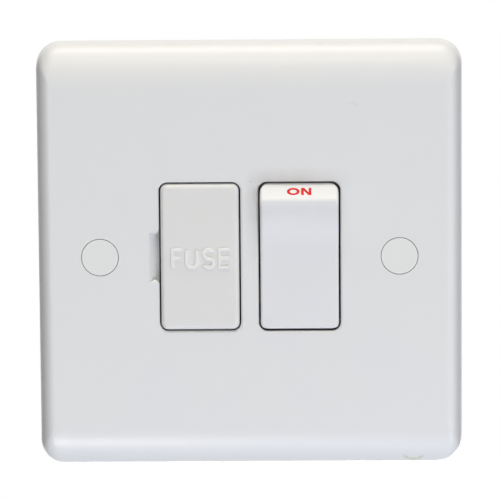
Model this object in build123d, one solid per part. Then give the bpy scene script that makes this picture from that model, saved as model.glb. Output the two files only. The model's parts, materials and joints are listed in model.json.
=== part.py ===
from build123d import *

import math
import os

# Switched fused connection unit for a single wall box, in millimetres.
# X runs to the right and Z up as the unit is seen on the wall. Y runs into the wall.
# The plane of the rim that lies against the wall is Y = 0, and the front faces -Y.

# Front plate
PLATE_SIZE = 86.0
PLATE_DEPTH = 9.5
PLATE_CORNER = 5.0
PLATE_WALL = 2.4
EDGE_WIDTH = 9.0
EDGE_DROP = 4.5
EDGE_SECTIONS = 7
SIDE_DRAFT = 0.25
CAVITY_CHAMFER = 1.8
RIB = 1.4
RIB_HEIGHT = 2.2

# Windows for the fuse carrier and the rocker
WINDOW_WIDTH = 16.45
WINDOW_HEIGHT = 30.25
WINDOW_CORNER = 1.75
WINDOW_EDGE = 0.35
WINDOW_PITCH = 20.04
WINDOW_GAP = 0.33
WELL_WALL = 1.9
WELL_LENGTH = 8.5

# Hollow beside the fuse carrier that takes the tip of a screwdriver
NOTCH_WIDTH = 2.05
NOTCH_HEIGHT = 9.4
NOTCH_DEPTH = 2.4
NOTCH_CORNER = 1.0

# Wall box fixings
FIXING_PITCH = 60.3
SCREW_RADIUS = 1.75
SCREW_NECK = 1.55
SCREW_REACH = 17.0
SCREW_HEAD = 3.25
SCREW_HOLE = 2.1
SCREW_FIT = 0.05
TUBE_RADIUS = 4.6
TUBE_BACK = 0.7
CAP_RADIUS = 3.66
CAP_GAP = 0.13
CAP_THICKNESS = 1.3
CAP_SKIRT = 1.0
CAP_SKIRT_WALL = 0.5
CAP_PROUD = 0.05
CAP_LEDGE = 0.36
CAP_ROOM = 0.1

# Rear housing
HOUSING_WIDTH = 50.0
HOUSING_BACK = 17.0
HOUSING_CORNER = 3.0
HOUSING_WALL = 1.8
HOUSING_CHAMFER = 0.8
DECK = 2.2
CHAMBER_FLOOR = 12.0
CHAMBER_WIDTH = 7.4
FUSE_FLOOR = 5.6
CORE_FRONT = 8.4
CORE_WIDTH = 6.9
CORE_HEIGHT = 8.0
CORE_WEB = 1.4
CORE_CORNER = 0.8

# Screws that hold the housing to the plate
COLUMN_X = 22.0
COLUMN_Z = 8.5
COLUMN_RADIUS = 3.0
COLUMN_SCREW = 1.2
COLUMN_SCREW_FIT = 0.03
COLUMN_HOLE = 1.55
COLUMN_HEAD = 2.3
COLUMN_HEAD_FIT = 0.15
COLUMN_HEAD_HEIGHT = 1.7
COLUMN_SINK = 2.0
COLUMN_BITE = 4.4
COLUMN_PILOT_ROOM = 0.4

# Rocker
ROCKER_PIVOT_DEPTH = 3.0
ROCKER_HALF_TILT = 8.5
ROCKER_WALL = 1.5
ROCKER_PROUD = 0.1
ROCKER_BLEND = 29.0
ROCKER_VALLEY = 3.3
ROCKER_CREST = 11.6
ROCKER_CREST_EDGE = 1.4
ROCKER_FACET_DROP = 0.5
ROCKER_END_GAP = 0.15
ROCKER_SKIRT = 2.6
ROCKER_EDGE = 0.6
ROCKER_CORNER = 1.75
TRUNNION_RADIUS = 1.3
TRUNNION_FIT = 0.05
TRUNNION_POST = 1.25
TRUNNION_BITE = 1.0
TRUNNION_END_GAP = 0.15
PLUNGER_TUBE = 2.3
PLUNGER_TUBE_REACH = 9.0
PLUNGER_BORE_TOP = 1.0

# Plungers and springs
POLE_PITCH = 8.8
PLUNGER_RADIUS = 1.5
PLUNGER_FIT = 0.05
PLUNGER_NOSE = 1.3
PLUNGER_GUIDE = 4.2
PLUNGER_GAP = 0.08
SPRING_WIRE = 0.4
SPRING_END_GAP = 0.05
SPRING_RADIUS = 1.1
SPRING_TURNS = 4
SPRING_SIDES = 8

# Moving contacts
CONTACT_TILT = 10.0
CONTACT_PIVOT = 8.1
CONTACT_WIDTH = 5.0
CONTACT_HALF = 10.4
CONTACT_THICKNESS = 1.8
CONTACT_MIDDLE = 1.4
CONTACT_TROUGH = 4.0
TIP_REACH = 8.9
TIP_RADIUS = 1.6
TIP_HEIGHT = 0.75
TIP_DOME = 2.6
TIP_GAP = 0.04
TIP_MARGIN = 0.3
KNIFE_RADIUS = 0.5
KNIFE_FIT = 0.06

# Flat conductors
STRIP_THICKNESS = 0.8
STRIP_WIDTH = 5.0
STRIP_BEND = 0.45
STRIP_FIT = 0.1
STRIP_END = 0.5
LINK_Z = -8.7
STRAP_WALL = 0.9
STRAP_START = 0.6
STRAP_LIP = 1.0

# Terminals
TERMINAL_WIDTH = 7.2
TERMINAL_HEIGHT = 7.8
TERMINAL_BARRIER = 2.2
TERMINAL_END_ROOM = 0.2
TERMINAL_CHAMFER = 0.4
TERMINAL_FIT = 0.1
TERMINAL_BORE = 2.5
TERMINAL_BORE_Y = 6.3
EARTH_PITCH = 8.6
CLAMP_RADIUS = 1.95
CLAMP_FIT = 0.05
CLAMP_STRIP_GAP = 0.2
CLAMP_LENGTH = 6.8
CLAMP_BACK_OFF = 0.15
CLAMP_HEAD = 2.9
CLAMP_HEAD_HEIGHT = 2.2
CLAMP_ACCESS = 3.3
WIRE_ENTRY = 3.0
KEEPER = 1.6
KEEPER_WIDTH = 37.0

# Fuse and its carrier
FUSE_END_ROOM = 2.425
FUSE_RADIUS = 3.175
FUSE_Y = 1.5
FUSE_CAP_LENGTH = 5.8
FUSE_CAP_WALL = 0.3
FUSE_CAP_FIT = 0.03
CLIP_FIT = 0.05
CLIP_WALL = 0.6
CLIP_WIDTH = 4.4
CLIP_FRONT = -1.3
CLIP_FLARE = 1.0
CLIP_INSET = 0.2
CLIP_STEP = 0.5
CARRIER_PROUD = 0.35
CARRIER_EDGE = 1.0
CARRIER_PANEL = 2.2
CARRIER_WALL = 1.2
CARRIER_SKIRT = 7.5
SADDLE = 2.4
SADDLE_ROOM = 1.5
SADDLE_WIDTH = 9.2
SADDLE_WRAP = 1.1
SADDLE_FIT = 0.05
STOP_WIDTH = 6.0
STOP_GAP = 0.1
LEVER_HEIGHT = 8.0
LEVER_DEPTH = 0.7

# Small recesses in screw heads
SLOT_WIDTH = 0.9
SLOT_DEPTH = 0.9

# How far a cut runs past the face it opens
OVERCUT = 1.0

# Levels and places that follow from the sizes above
FACE = -PLATE_DEPTH
CEILING = FACE + PLATE_WALL
SEAT = FACE + WELL_LENGTH
CARRIER_X = -WINDOW_PITCH / 2
ROCKER_X = WINDOW_PITCH / 2
POLES = {"live": ROCKER_X - POLE_PITCH / 2, "neutral": ROCKER_X + POLE_PITCH / 2}
PIVOT = FACE + ROCKER_PIVOT_DEPTH
INSERT_WIDTH = WINDOW_WIDTH - 2 * WINDOW_GAP
INSERT_HEIGHT = WINDOW_HEIGHT - 2 * WINDOW_GAP
CHAMBER_HEIGHT = WINDOW_HEIGHT
TERMINAL_Z = CHAMBER_HEIGHT / 2 + TERMINAL_BARRIER + TERMINAL_HEIGHT / 2
TERMINAL_END = TERMINAL_Z + TERMINAL_HEIGHT / 2
HOUSING_HEIGHT = 2 * (TERMINAL_END + TERMINAL_END_ROOM + HOUSING_WALL)
FUSE_LENGTH = WINDOW_HEIGHT - 2 * FUSE_END_ROOM
SADDLE_Z = FUSE_LENGTH / 2 - FUSE_CAP_LENGTH - SADDLE_ROOM - SADDLE / 2
STRIP_TOP = CHAMBER_FLOOR - STRIP_THICKNESS
BARRIER = POLES["live"] - CHAMBER_WIDTH / 2
NOSE_REACH = CONTACT_PIVOT - CONTACT_MIDDLE - PLUNGER_GAP - PIVOT
CAP_LEVEL = FACE + CAP_THICKNESS
HEAD_WELL = CAP_RADIUS + CAP_GAP - CAP_LEDGE
HEAD_TOP = CAP_LEVEL + CAP_SKIRT + CAP_ROOM
FIXINGS = {"left": -FIXING_PITCH / 2, "right": FIXING_PITCH / 2}
COLUMNS = {
    "upper_left": (-COLUMN_X, COLUMN_Z),
    "upper_right": (COLUMN_X, COLUMN_Z),
    "lower_left": (-COLUMN_X, -COLUMN_Z),
    "lower_right": (COLUMN_X, -COLUMN_Z),
}
TERMINALS = {
    "load_live": (CARRIER_X, TERMINAL_Z),
    "supply_live": (POLES["live"], TERMINAL_Z),
    "supply_neutral": (POLES["neutral"], TERMINAL_Z),
    "load_neutral": (POLES["neutral"], -TERMINAL_Z),
}
EARTHS = {
    "earth_left": (CARRIER_X - EARTH_PITCH / 2, -TERMINAL_Z),
    "earth_right": (CARRIER_X + EARTH_PITCH / 2, -TERMINAL_Z),
}
CLAMPS = {**TERMINALS, **EARTHS}


# Helpers for blocks, rods and prisms

def span(x, y, z):
    """Block between the two ends given for each axis."""
    middle = [(low + high) / 2 for low, high in (x, y, z)]
    sizes = [high - low for low, high in (x, y, z)]
    return Pos(*middle) * Box(*sizes)


def around(middle, size):
    """The two ends of a length laid evenly about its middle."""
    return middle - size / 2, middle + size / 2


def rod_x(radius, y, z, ends):
    """Rod along X."""
    return Pos(sum(ends) / 2, y, z) * Rot(Y=90) * Cylinder(radius, ends[1] - ends[0])


def rod_y(radius, x, z, ends):
    """Rod along Y."""
    return Pos(x, sum(ends) / 2, z) * Rot(X=90) * Cylinder(radius, ends[1] - ends[0])


def rod_z(radius, x, y, ends):
    """Rod along Z."""
    return Pos(x, y, sum(ends) / 2) * Cylinder(radius, ends[1] - ends[0])


def cone_y(front_radius, back_radius, x, z, ends):
    """Cone along Y, with a radius for each end."""
    shape = Cone(back_radius, front_radius, ends[1] - ends[0])
    return Pos(x, sum(ends) / 2, z) * Rot(X=90) * shape


def prism_y(outline, ends, x=0, z=0):
    """Outline drawn as seen from the front, filled between two depths."""
    base = Plane((x, ends[1], z), x_dir=(1, 0, 0), z_dir=(0, -1, 0))
    return extrude(base * outline, amount=ends[1] - ends[0])


def prism_x(outline, ends):
    """Outline drawn in Y and Z, filled between two places along X."""
    return extrude(Plane.YZ.offset(ends[0]) * outline, amount=ends[1] - ends[0])


def prism_z(outline, ends):
    """Outline drawn in X and Y, filled between two heights."""
    return extrude(Plane.XY.offset(ends[0]) * outline, amount=ends[1] - ends[0])


def bent_strip(points, thickness, bend):
    """Outline of a strip of sheet that follows the points given."""
    return trace(FilletPolyline(*points, radius=bend), thickness)


def turned(shape, y, z, degrees):
    """Shape turned about a line along X. A positive angle brings its top forwards."""
    return Pos(0, y, z) * Rot(X=degrees) * Pos(0, -y, -z) * shape


# Front plate

def plate_section(inset):
    side = PLATE_SIZE - 2 * inset
    return RectangleRounded(side, side, PLATE_CORNER)


def plate_outside():
    """Straight flanks, then an edge that rolls over in a quarter of an ellipse."""
    shoulder = FACE + EDGE_DROP
    flank = loft(
        [
            Plane.XZ * plate_section(0),
            Plane.XZ.offset(-shoulder) * plate_section(SIDE_DRAFT),
        ]
    )
    sections = []
    for step in range(EDGE_SECTIONS):
        turn = math.radians(90 * step / (EDGE_SECTIONS - 1))
        inset = SIDE_DRAFT + (EDGE_WIDTH - SIDE_DRAFT) * (1 - math.cos(turn))
        depth = shoulder - EDGE_DROP * math.sin(turn)
        sections.append(Plane.XZ.offset(-depth) * plate_section(inset))
    return flank + loft(sections)


def plate_hollow():
    side = PLATE_SIZE - 2 * PLATE_WALL
    hollow = prism_y(RectangleRounded(side, side, PLATE_CORNER - PLATE_WALL), (CEILING, 0))
    return chamfer(hollow.faces().sort_by(Axis.Y)[0].edges(), CAVITY_CHAMFER)


def window_shape(grow=0.0):
    width = WINDOW_WIDTH + 2 * grow
    height = WINDOW_HEIGHT + 2 * grow
    return RectangleRounded(width, height, WINDOW_CORNER + grow)


def plate_ribs():
    """Low ribs from the wells and the screw tubes out to the flanks."""
    depth = (CEILING - PLATE_WALL / 2, CEILING + RIB_HEIGHT)
    wall = PLATE_SIZE / 2 - PLATE_WALL / 2
    well = WINDOW_HEIGHT / 2 + WELL_WALL / 2
    ribs = Part()
    for x in (CARRIER_X, ROCKER_X):
        for ends in ((well, wall), (-wall, -well)):
            ribs += span(around(x, RIB), depth, ends)
    for x in FIXINGS.values():
        ribs += span(sorted((x, math.copysign(wall, x))), depth, around(0, RIB))
    return ribs


def plate_inner_walls():
    """Wells round both windows, screw tubes, bosses and the bars over the terminals."""
    level = CEILING - PLATE_WALL / 2
    walls = span(around(0, 2 * WELL_WALL), (level, SEAT), around(0, WINDOW_HEIGHT))
    for x in (CARRIER_X, ROCKER_X):
        walls += prism_y(window_shape(WELL_WALL), (level, SEAT), x)
    for x in FIXINGS.values():
        walls += rod_y(TUBE_RADIUS, x, 0, (level, -TUBE_BACK))
    for x, z in COLUMNS.values():
        walls += rod_y(COLUMN_RADIUS, x, z, (level, SEAT))
    for z in (TERMINAL_Z, -TERMINAL_Z):
        walls += span(around(0, KEEPER_WIDTH), (level, DECK - TERMINAL_FIT), around(z, KEEPER))
    return walls


def notch_outline(grow):
    """Notch and a part of the window as seen from the front, with round corners between."""
    edge = CARRIER_X - WINDOW_WIDTH / 2
    inside = edge + OVERCUT
    room = NOTCH_HEIGHT + 2 * NOTCH_CORNER + 2 * OVERCUT
    shape = Sketch()
    for left, height in ((edge - grow, room), (edge - NOTCH_WIDTH - grow, NOTCH_HEIGHT + 2 * grow)):
        shape += Pos((left + inside) / 2, 0) * Rectangle(inside - left, height)
    corners = [v for v in shape.vertices() if abs(v.X - edge + grow) < OVERCUT / 2]
    corners = [v for v in corners if abs(v.Y) < room / 2 - OVERCUT / 2]
    return fillet(corners, NOTCH_CORNER - grow)


def notch_floor():
    """Room in front of a floor that starts flush and rolls down to the fuse carrier."""
    edge = CARRIER_X - WINDOW_WIDTH / 2
    start = edge - NOTCH_WIDTH
    bottom = FACE + NOTCH_DEPTH
    front = FACE - OVERCUT
    roll = EllipticalCenterArc((start, bottom), NOTCH_WIDTH, NOTCH_DEPTH, -90, arc_size=90)
    rest = Polyline(
        (edge, bottom), (edge + OVERCUT, bottom), (edge + OVERCUT, front), (start, front), (start, FACE)
    )
    return prism_z(make_face([roll, rest]), around(0, 2 * NOTCH_HEIGHT))


def notch_cut():
    """Hollow with upright ends, whose lips are cut like those of the windows."""
    lip = [(FACE, WINDOW_EDGE), (FACE + WINDOW_EDGE, 0)]
    sections = [Plane((0, y, 0), (1, 0, 0), (0, -1, 0)) * notch_outline(grow) for y, grow in lip]
    cut = prism_y(notch_outline(0), (FACE - OVERCUT, FACE + NOTCH_DEPTH))
    return (cut + loft(sections, ruled=True)) & notch_floor()


def trunnion_slots():
    """Slots, open to the rear, for the posts that carry the rocker."""
    reach = TRUNNION_POST + TRUNNION_END_GAP
    radius = TRUNNION_RADIUS + TRUNNION_FIT
    ends = around(ROCKER_X, WINDOW_WIDTH + 2 * reach)
    return rod_x(radius, PIVOT, 0, ends) + span(ends, (PIVOT, SEAT + OVERCUT), around(0, 2 * radius))


def fixing_hole(x):
    """Recess for the cover cap, well and cone for the screw head, and the hole."""
    recess = CAP_RADIUS + CAP_GAP
    drop = SCREW_HEAD - SCREW_NECK
    cone_top = HEAD_TOP
    hole = rod_y(recess, x, 0, (FACE - OVERCUT, CAP_LEVEL))
    hole += rod_y(HEAD_WELL, x, 0, (CAP_LEVEL, cone_top + SCREW_FIT))
    top = SCREW_HEAD + SCREW_FIT
    hole += cone_y(top, top - drop, x, 0, (cone_top, cone_top + drop))
    return hole + rod_y(SCREW_HOLE, x, 0, (cone_top, OVERCUT))


def front_plate():
    outside = plate_outside()
    plate = outside - plate_hollow() + (plate_ribs() & outside) + plate_inner_walls()
    for x in (CARRIER_X, ROCKER_X):
        plate -= prism_y(window_shape(), (FACE - OVERCUT, SEAT + OVERCUT), x)
    front = plate.faces().sort_by(Axis.Y)[0]
    plate = chamfer(front.inner_wires().edges(), WINDOW_EDGE)
    plate -= notch_cut()
    plate -= trunnion_slots()
    for x in FIXINGS.values():
        plate -= fixing_hole(x)
    for x, z in COLUMNS.values():
        pilot = COLUMN_SCREW + COLUMN_SCREW_FIT
        bottom = SEAT - COLUMN_BITE - COLUMN_PILOT_ROOM
        plate -= rod_y(pilot, x, z, (bottom, SEAT + OVERCUT))
    return plate


# Cover caps and fixing screws

def screw_cap(x):
    """Disc with a short skirt that presses into the well of the screw head."""
    outer = HEAD_WELL - SCREW_FIT
    disc = rod_y(CAP_RADIUS, x, 0, (FACE - CAP_PROUD, CAP_LEVEL))
    skirt = rod_y(outer, x, 0, (CAP_LEVEL, CAP_LEVEL + CAP_SKIRT))
    skirt -= rod_y(outer - CAP_SKIRT_WALL, x, 0, (CAP_LEVEL, CAP_LEVEL + CAP_SKIRT))
    return disc + skirt


def slot_cut(x, z, level, side, radius):
    """Driver slot in a head. Side is -1 for a head that faces the front and 1 for the rear."""
    ends = sorted((level + side * OVERCUT, level - side * SLOT_DEPTH))
    return span(around(x, 2 * (radius + OVERCUT)), ends, around(z, SLOT_WIDTH))


def fixing_screw(x):
    """Countersunk head, a thinner neck inside the plate and the thread behind it."""
    drop = SCREW_HEAD - SCREW_NECK
    screw = cone_y(SCREW_HEAD, SCREW_NECK, x, 0, (HEAD_TOP, HEAD_TOP + drop))
    screw += rod_y(SCREW_NECK, x, 0, (HEAD_TOP + drop / 2, 0))
    screw += rod_y(SCREW_RADIUS, x, 0, (-TUBE_BACK / 2, SCREW_REACH))
    return screw - slot_cut(x, 0, HEAD_TOP, -1, SCREW_HEAD)


# Rear housing

def housing_blank():
    blank = prism_y(
        RectangleRounded(HOUSING_WIDTH, HOUSING_HEIGHT, HOUSING_CORNER), (SEAT, HOUSING_BACK)
    )
    return chamfer(blank.faces().sort_by(Axis.Y)[-1].edges(), HOUSING_CHAMFER)


def housing_tray():
    """Open tray in front of the deck, cut from the blank round the screw columns."""
    tray = span(
        around(0, HOUSING_WIDTH - 2 * HOUSING_WALL),
        (SEAT, DECK),
        around(0, HOUSING_HEIGHT - 2 * HOUSING_WALL),
    )
    for x, z in COLUMNS.values():
        tray -= rod_y(COLUMN_RADIUS, x, z, (SEAT - OVERCUT, DECK + OVERCUT))
    return tray


def pocket(x, z, size, floor):
    """Hole from the deck down to a floor."""
    return span(around(x, size[0]), (DECK - OVERCUT, floor), around(z, size[1]))


def strip_channel(x, z_ends, front):
    """Way through a wall for a flat conductor."""
    return span(around(x, STRIP_WIDTH + 2 * STRIP_FIT), (front, CHAMBER_FLOOR), z_ends)


def housing_pockets():
    """Room for the switch, the fuse, the terminals and the strips between them."""
    half = CHAMBER_HEIGHT / 2
    size = (TERMINAL_WIDTH + 2 * TERMINAL_FIT, TERMINAL_HEIGHT + 2 * TERMINAL_FIT)
    cut = pocket(CARRIER_X, 0, (-2 * (CARRIER_X + BARRIER), CHAMBER_HEIGHT), FUSE_FLOOR)
    link = around(LINK_Z, STRIP_WIDTH + 2 * STRIP_FIT)
    left = CARRIER_X - FUSE_RADIUS - STRIP_FIT
    cut += span((left, -BARRIER), (FUSE_FLOOR - OVERCUT, FUSE_FLOOR + STRIP_THICKNESS), link)
    for x in POLES.values():
        cut += pocket(x, 0, (CHAMBER_WIDTH, CHAMBER_HEIGHT), CHAMBER_FLOOR)
        cut += strip_channel(x, (half - OVERCUT, TERMINAL_Z), STRIP_TOP - STRIP_FIT)
    cut += strip_channel(CARRIER_X, (half - OVERCUT, TERMINAL_Z), DECK - OVERCUT)
    cut += strip_channel(POLES["neutral"], (-TERMINAL_Z, OVERCUT - half), STRIP_TOP - STRIP_FIT)
    for x, z in TERMINALS.values():
        cut += pocket(x, z, size, CHAMBER_FLOOR)
    earth = (size[0] + EARTH_PITCH, size[1])
    return cut + pocket(CARRIER_X, -TERMINAL_Z, earth, CHAMBER_FLOOR)


def housing_holes():
    """Wire entries at the ends, and holes from the rear for the clamp screws."""
    cut = Part()
    for x, z in CLAMPS.values():
        outside = math.copysign(HOUSING_HEIGHT, z)
        cut += rod_z(WIRE_ENTRY, x, TERMINAL_BORE_Y, sorted((z, outside)))
        cut += rod_y(CLAMP_ACCESS, x, z, (CHAMBER_FLOOR - OVERCUT, HOUSING_BACK + OVERCUT))
    for x, z in COLUMNS.values():
        cut += rod_y(COLUMN_HOLE, x, z, (SEAT - OVERCUT, HOUSING_BACK + OVERCUT))
        sink = HOUSING_BACK - COLUMN_SINK
        cut += rod_y(COLUMN_HEAD + COLUMN_HEAD_FIT, x, z, (sink, HOUSING_BACK + OVERCUT))
    return cut


def housing_cores():
    """Cells at the rear, behind the fuse, that keep the moulding even in thickness."""
    cut = Part()
    for column in (-1, 1):
        for row in (-1, 0, 1):
            x = CARRIER_X + column * (CORE_WIDTH + CORE_WEB) / 2
            z = row * (CORE_HEIGHT + CORE_WEB)
            cell = RectangleRounded(CORE_WIDTH, CORE_HEIGHT, CORE_CORNER)
            cut += prism_y(cell, (CORE_FRONT, HOUSING_BACK + OVERCUT), x, z)
    return cut


def trunnion_posts():
    """Posts at both sides of the rocker, each with a pin that the rocker turns on."""
    posts = Part()
    for side in (-1, 1):
        wall = ROCKER_X + side * WINDOW_WIDTH / 2
        outer = wall + side * TRUNNION_POST
        tip = ROCKER_X + side * (INSERT_WIDTH / 2 - TRUNNION_BITE)
        foot = (PIVOT, DECK + OVERCUT)
        posts += span(sorted((wall, outer)), foot, around(0, 2 * TRUNNION_RADIUS))
        posts += rod_x(TRUNNION_RADIUS, PIVOT, 0, sorted((tip, outer)))
    return posts


def link_strap():
    """Strap over the live strip on the fuse side of the barrier."""
    left, right = -BARRIER - STRAP_LIP, -STRAP_START
    top = DECK - STRIP_THICKNESS - STRIP_FIT
    way = STRIP_WIDTH + 2 * STRIP_FIT
    outside = around(LINK_Z, way + 2 * STRAP_WALL)
    strap = span((left, right), (top - STRAP_WALL, DECK + OVERCUT), outside)
    inside = (top, DECK + 2 * OVERCUT)
    return strap - span((left - OVERCUT, right + OVERCUT), inside, around(LINK_Z, way))


def rear_housing():
    housing = housing_blank() - housing_tray() - housing_pockets()
    housing = housing - housing_holes() - housing_cores()
    return housing + trunnion_posts() + link_strap()


def housing_screw(x, z):
    """Screw driven from the rear, through a column, into a boss of the plate."""
    sink = HOUSING_BACK - COLUMN_SINK
    screw = rod_y(COLUMN_SCREW, x, z, (SEAT - COLUMN_BITE, sink + COLUMN_HEAD_HEIGHT / 2))
    screw += rod_y(COLUMN_HEAD, x, z, (sink, sink + COLUMN_HEAD_HEIGHT))
    return screw - slot_cut(x, z, sink + COLUMN_HEAD_HEIGHT, 1, COLUMN_HEAD)


# Rocker, drawn level with the plate and then tilted to the on position

def rocker_outline(back):
    """Side view about the pins. Forward is -Y. The rear edge lies at the depth given."""
    tilt = math.radians(ROCKER_HALF_TILT)
    sine, cosine, slope = math.sin(tilt), math.cos(tilt), math.tan(tilt)
    sweep_radius = WINDOW_HEIGHT / 2 - ROCKER_END_GAP
    valley = (ROCKER_PIVOT_DEPTH + ROCKER_PROUD) / cosine - ROCKER_VALLEY * slope

    def face(z):
        return valley + abs(z - ROCKER_VALLEY) * slope

    def on_sweep(depth):
        return math.sqrt(sweep_radius**2 - depth**2)

    rise = valley - ROCKER_VALLEY * slope
    crest = (ROCKER_CREST + rise * sine) * cosine / math.cos(2 * tilt)
    base = valley + ROCKER_VALLEY * slope
    foot = cosine * (base * sine - math.sqrt(sweep_radius**2 - (base * cosine) ** 2))
    facet = ROCKER_PIVOT_DEPTH - ROCKER_FACET_DROP
    tip_z = on_sweep(facet) * cosine + facet * sine
    tip_out = facet * cosine - on_sweep(facet) * sine
    blend = ROCKER_BLEND * sine
    dip = valley + ROCKER_BLEND / cosine - ROCKER_BLEND
    low, high = ROCKER_VALLEY - blend, ROCKER_VALLEY + blend
    end = on_sweep(back)
    middle = (back - tip_out) / 2
    outline = make_face(
        [
            Line((-face(foot), foot), (-face(low), low)),
            ThreePointArc((-face(low), low), (-dip, ROCKER_VALLEY), (-face(high), high)),
            Line((-face(high), high), (-face(crest), crest)),
            Line((-face(crest), crest), (-tip_out, tip_z)),
            ThreePointArc((-tip_out, tip_z), (middle, on_sweep(middle)), (back, end)),
            Line((back, end), (back, -end)),
            ThreePointArc((back, -end), (0, -sweep_radius), (-face(foot), foot)),
        ]
    )
    outline = fillet(outline.vertices().sort_by(Axis.X)[1:2], ROCKER_CREST_EDGE)
    return fillet(outline.vertices().sort_by(Axis.X)[:1], ROCKER_EDGE)


def rocker_solid():
    """Body of the rocker with soft front edges and rounded corners."""
    ends = around(ROCKER_X, INSERT_WIDTH)
    solid = prism_x(rocker_outline(ROCKER_SKIRT), ends)
    height = WINDOW_HEIGHT - 2 * ROCKER_END_GAP
    front = [
        edge
        for edge in solid.faces().filter_by(Axis.X).edges()
        if edge.center().Y < 0 and abs(edge.center().Z) < height / 2 - ROCKER_EDGE
    ]
    solid = fillet(front, ROCKER_EDGE)
    plan = RectangleRounded(INSERT_WIDTH, height, ROCKER_CORNER)
    solid &= prism_y(plan, (-height, height), ROCKER_X)
    inside = offset(rocker_outline(ROCKER_SKIRT + 2 * ROCKER_WALL), -ROCKER_WALL)
    return solid - prism_x(inside, around(ROCKER_X, INSERT_WIDTH - 2 * ROCKER_WALL))


def rocker_level():
    """Hollow rocker with a socket at each side and the two tubes that guide the plungers."""
    solid = Pos(0, PIVOT, 0) * rocker_solid()
    for side in (-1, 1):
        flank = ROCKER_X + side * INSERT_WIDTH / 2
        bottom = flank - side * (TRUNNION_BITE + TRUNNION_END_GAP)
        ends = sorted((flank + side * OVERCUT, bottom))
        solid -= rod_x(TRUNNION_RADIUS + TRUNNION_FIT, PIVOT, 0, ends)
    inner = around(ROCKER_X, INSERT_WIDTH - ROCKER_WALL)
    room = offset(rocker_outline(PLUNGER_TUBE_REACH + ROCKER_WALL), -ROCKER_WALL / 2)
    room = Pos(0, PIVOT, 0) * prism_x(room, inner)
    bore = PLUNGER_RADIUS + PLUNGER_FIT
    back = PIVOT + PLUNGER_TUBE_REACH
    for x in POLES.values():
        solid += rod_y(PLUNGER_TUBE, x, 0, (FACE - OVERCUT, back)) & room
        solid -= rod_y(bore, x, 0, (PIVOT - PLUNGER_BORE_TOP, back + OVERCUT))
    return solid


def rocker():
    return turned(rocker_level(), PIVOT, 0, ROCKER_HALF_TILT)


def plunger(x):
    """Nylon pin with a round nose that rides on the moving contact."""
    tip = PIVOT + NOSE_REACH
    back = PIVOT + PLUNGER_TUBE_REACH
    pin = rod_y(PLUNGER_RADIUS, x, 0, (back - PLUNGER_GUIDE, back))
    pin += rod_y(PLUNGER_NOSE, x, 0, (back - PLUNGER_GUIDE / 2, tip - PLUNGER_NOSE))
    pin += Pos(x, tip - PLUNGER_NOSE, 0) * Sphere(PLUNGER_NOSE)
    return turned(pin, PIVOT, 0, ROCKER_HALF_TILT)


def plunger_spring(x):
    """Coil between the bottom of the bore and the plunger, drawn in straight pieces."""
    margin = SPRING_WIRE / 2 + SPRING_END_GAP
    start = PIVOT - PLUNGER_BORE_TOP + margin
    finish = PIVOT + PLUNGER_TUBE_REACH - PLUNGER_GUIDE - margin
    steps = SPRING_TURNS * SPRING_SIDES
    points = []
    for step in range(steps + 1):
        turn = 2 * math.pi * step / SPRING_SIDES
        depth = start + (finish - start) * step / steps
        points.append(
            (x + SPRING_RADIUS * math.cos(turn), depth, SPRING_RADIUS * math.sin(turn))
        )
    path = Polyline(*points)
    wire = Plane(path @ 0, z_dir=path % 0) * Rectangle(SPRING_WIRE, SPRING_WIRE)
    coil = sweep(wire, path=path, transition=Transition.RIGHT)
    return turned(coil, PIVOT, 0, ROCKER_HALF_TILT)


# Contacts and conductors

def moving_contact(x):
    """Bar that rocks on a knife edge, with a trough for the plunger."""
    front = CONTACT_PIVOT - CONTACT_THICKNESS
    bar = span(around(x, CONTACT_WIDTH), (front, CONTACT_PIVOT), around(0, 2 * CONTACT_HALF))
    ends = around(x, CONTACT_WIDTH + 2 * OVERCUT)
    trough = CONTACT_PIVOT - CONTACT_MIDDLE - CONTACT_TROUGH
    bar -= rod_x(CONTACT_TROUGH, trough, 0, ends)
    bar -= rod_x(KNIFE_RADIUS + KNIFE_FIT, CONTACT_PIVOT, 0, ends)
    return turned(bar, CONTACT_PIVOT, 0, -CONTACT_TILT)


def moving_tip(x):
    """Domed contact on the rear of the bar."""
    tip = rod_y(TIP_RADIUS, x, TIP_REACH, (CONTACT_PIVOT, CONTACT_PIVOT + TIP_HEIGHT))
    tip &= Pos(x, CONTACT_PIVOT + TIP_HEIGHT - TIP_DOME, TIP_REACH) * Sphere(TIP_DOME)
    return turned(tip, CONTACT_PIVOT, 0, -CONTACT_TILT)


def tip_meeting():
    """Depth and height at which the dome meets the fixed contact."""
    tilt = math.radians(CONTACT_TILT)
    back = TIP_DOME - TIP_HEIGHT
    depth = CONTACT_PIVOT + TIP_REACH * math.sin(tilt) - back * math.cos(tilt) + TIP_DOME
    return depth + TIP_GAP, TIP_REACH * math.cos(tilt) + back * math.sin(tilt)


def fixed_tip(x):
    depth, height = tip_meeting()
    return rod_y(TIP_RADIUS, x, height, (depth, STRIP_TOP))


def clamp_hole(x, z):
    """Hole that lets a clamp screw through a strip."""
    return rod_y(CLAMP_RADIUS + CLAMP_STRIP_GAP, x, z, (DECK, HOUSING_BACK))


def fixed_contact(x):
    """Flat strip from the fixed contact to under the supply terminal."""
    low = tip_meeting()[1] - TIP_RADIUS - TIP_MARGIN
    high = TERMINAL_END - STRIP_END
    strip = span(around(x, STRIP_WIDTH), (STRIP_TOP, CHAMBER_FLOOR), (low, high))
    return strip - clamp_hole(x, TERMINAL_Z)


def knife_edge(x):
    """Upright tab with a round edge that the moving contact rocks on."""
    width = around(x, STRIP_WIDTH)
    tab = span(width, (CONTACT_PIVOT, CHAMBER_FLOOR), around(0, 2 * KNIFE_RADIUS))
    return tab + rod_x(KNIFE_RADIUS, CONTACT_PIVOT, 0, width)


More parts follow.
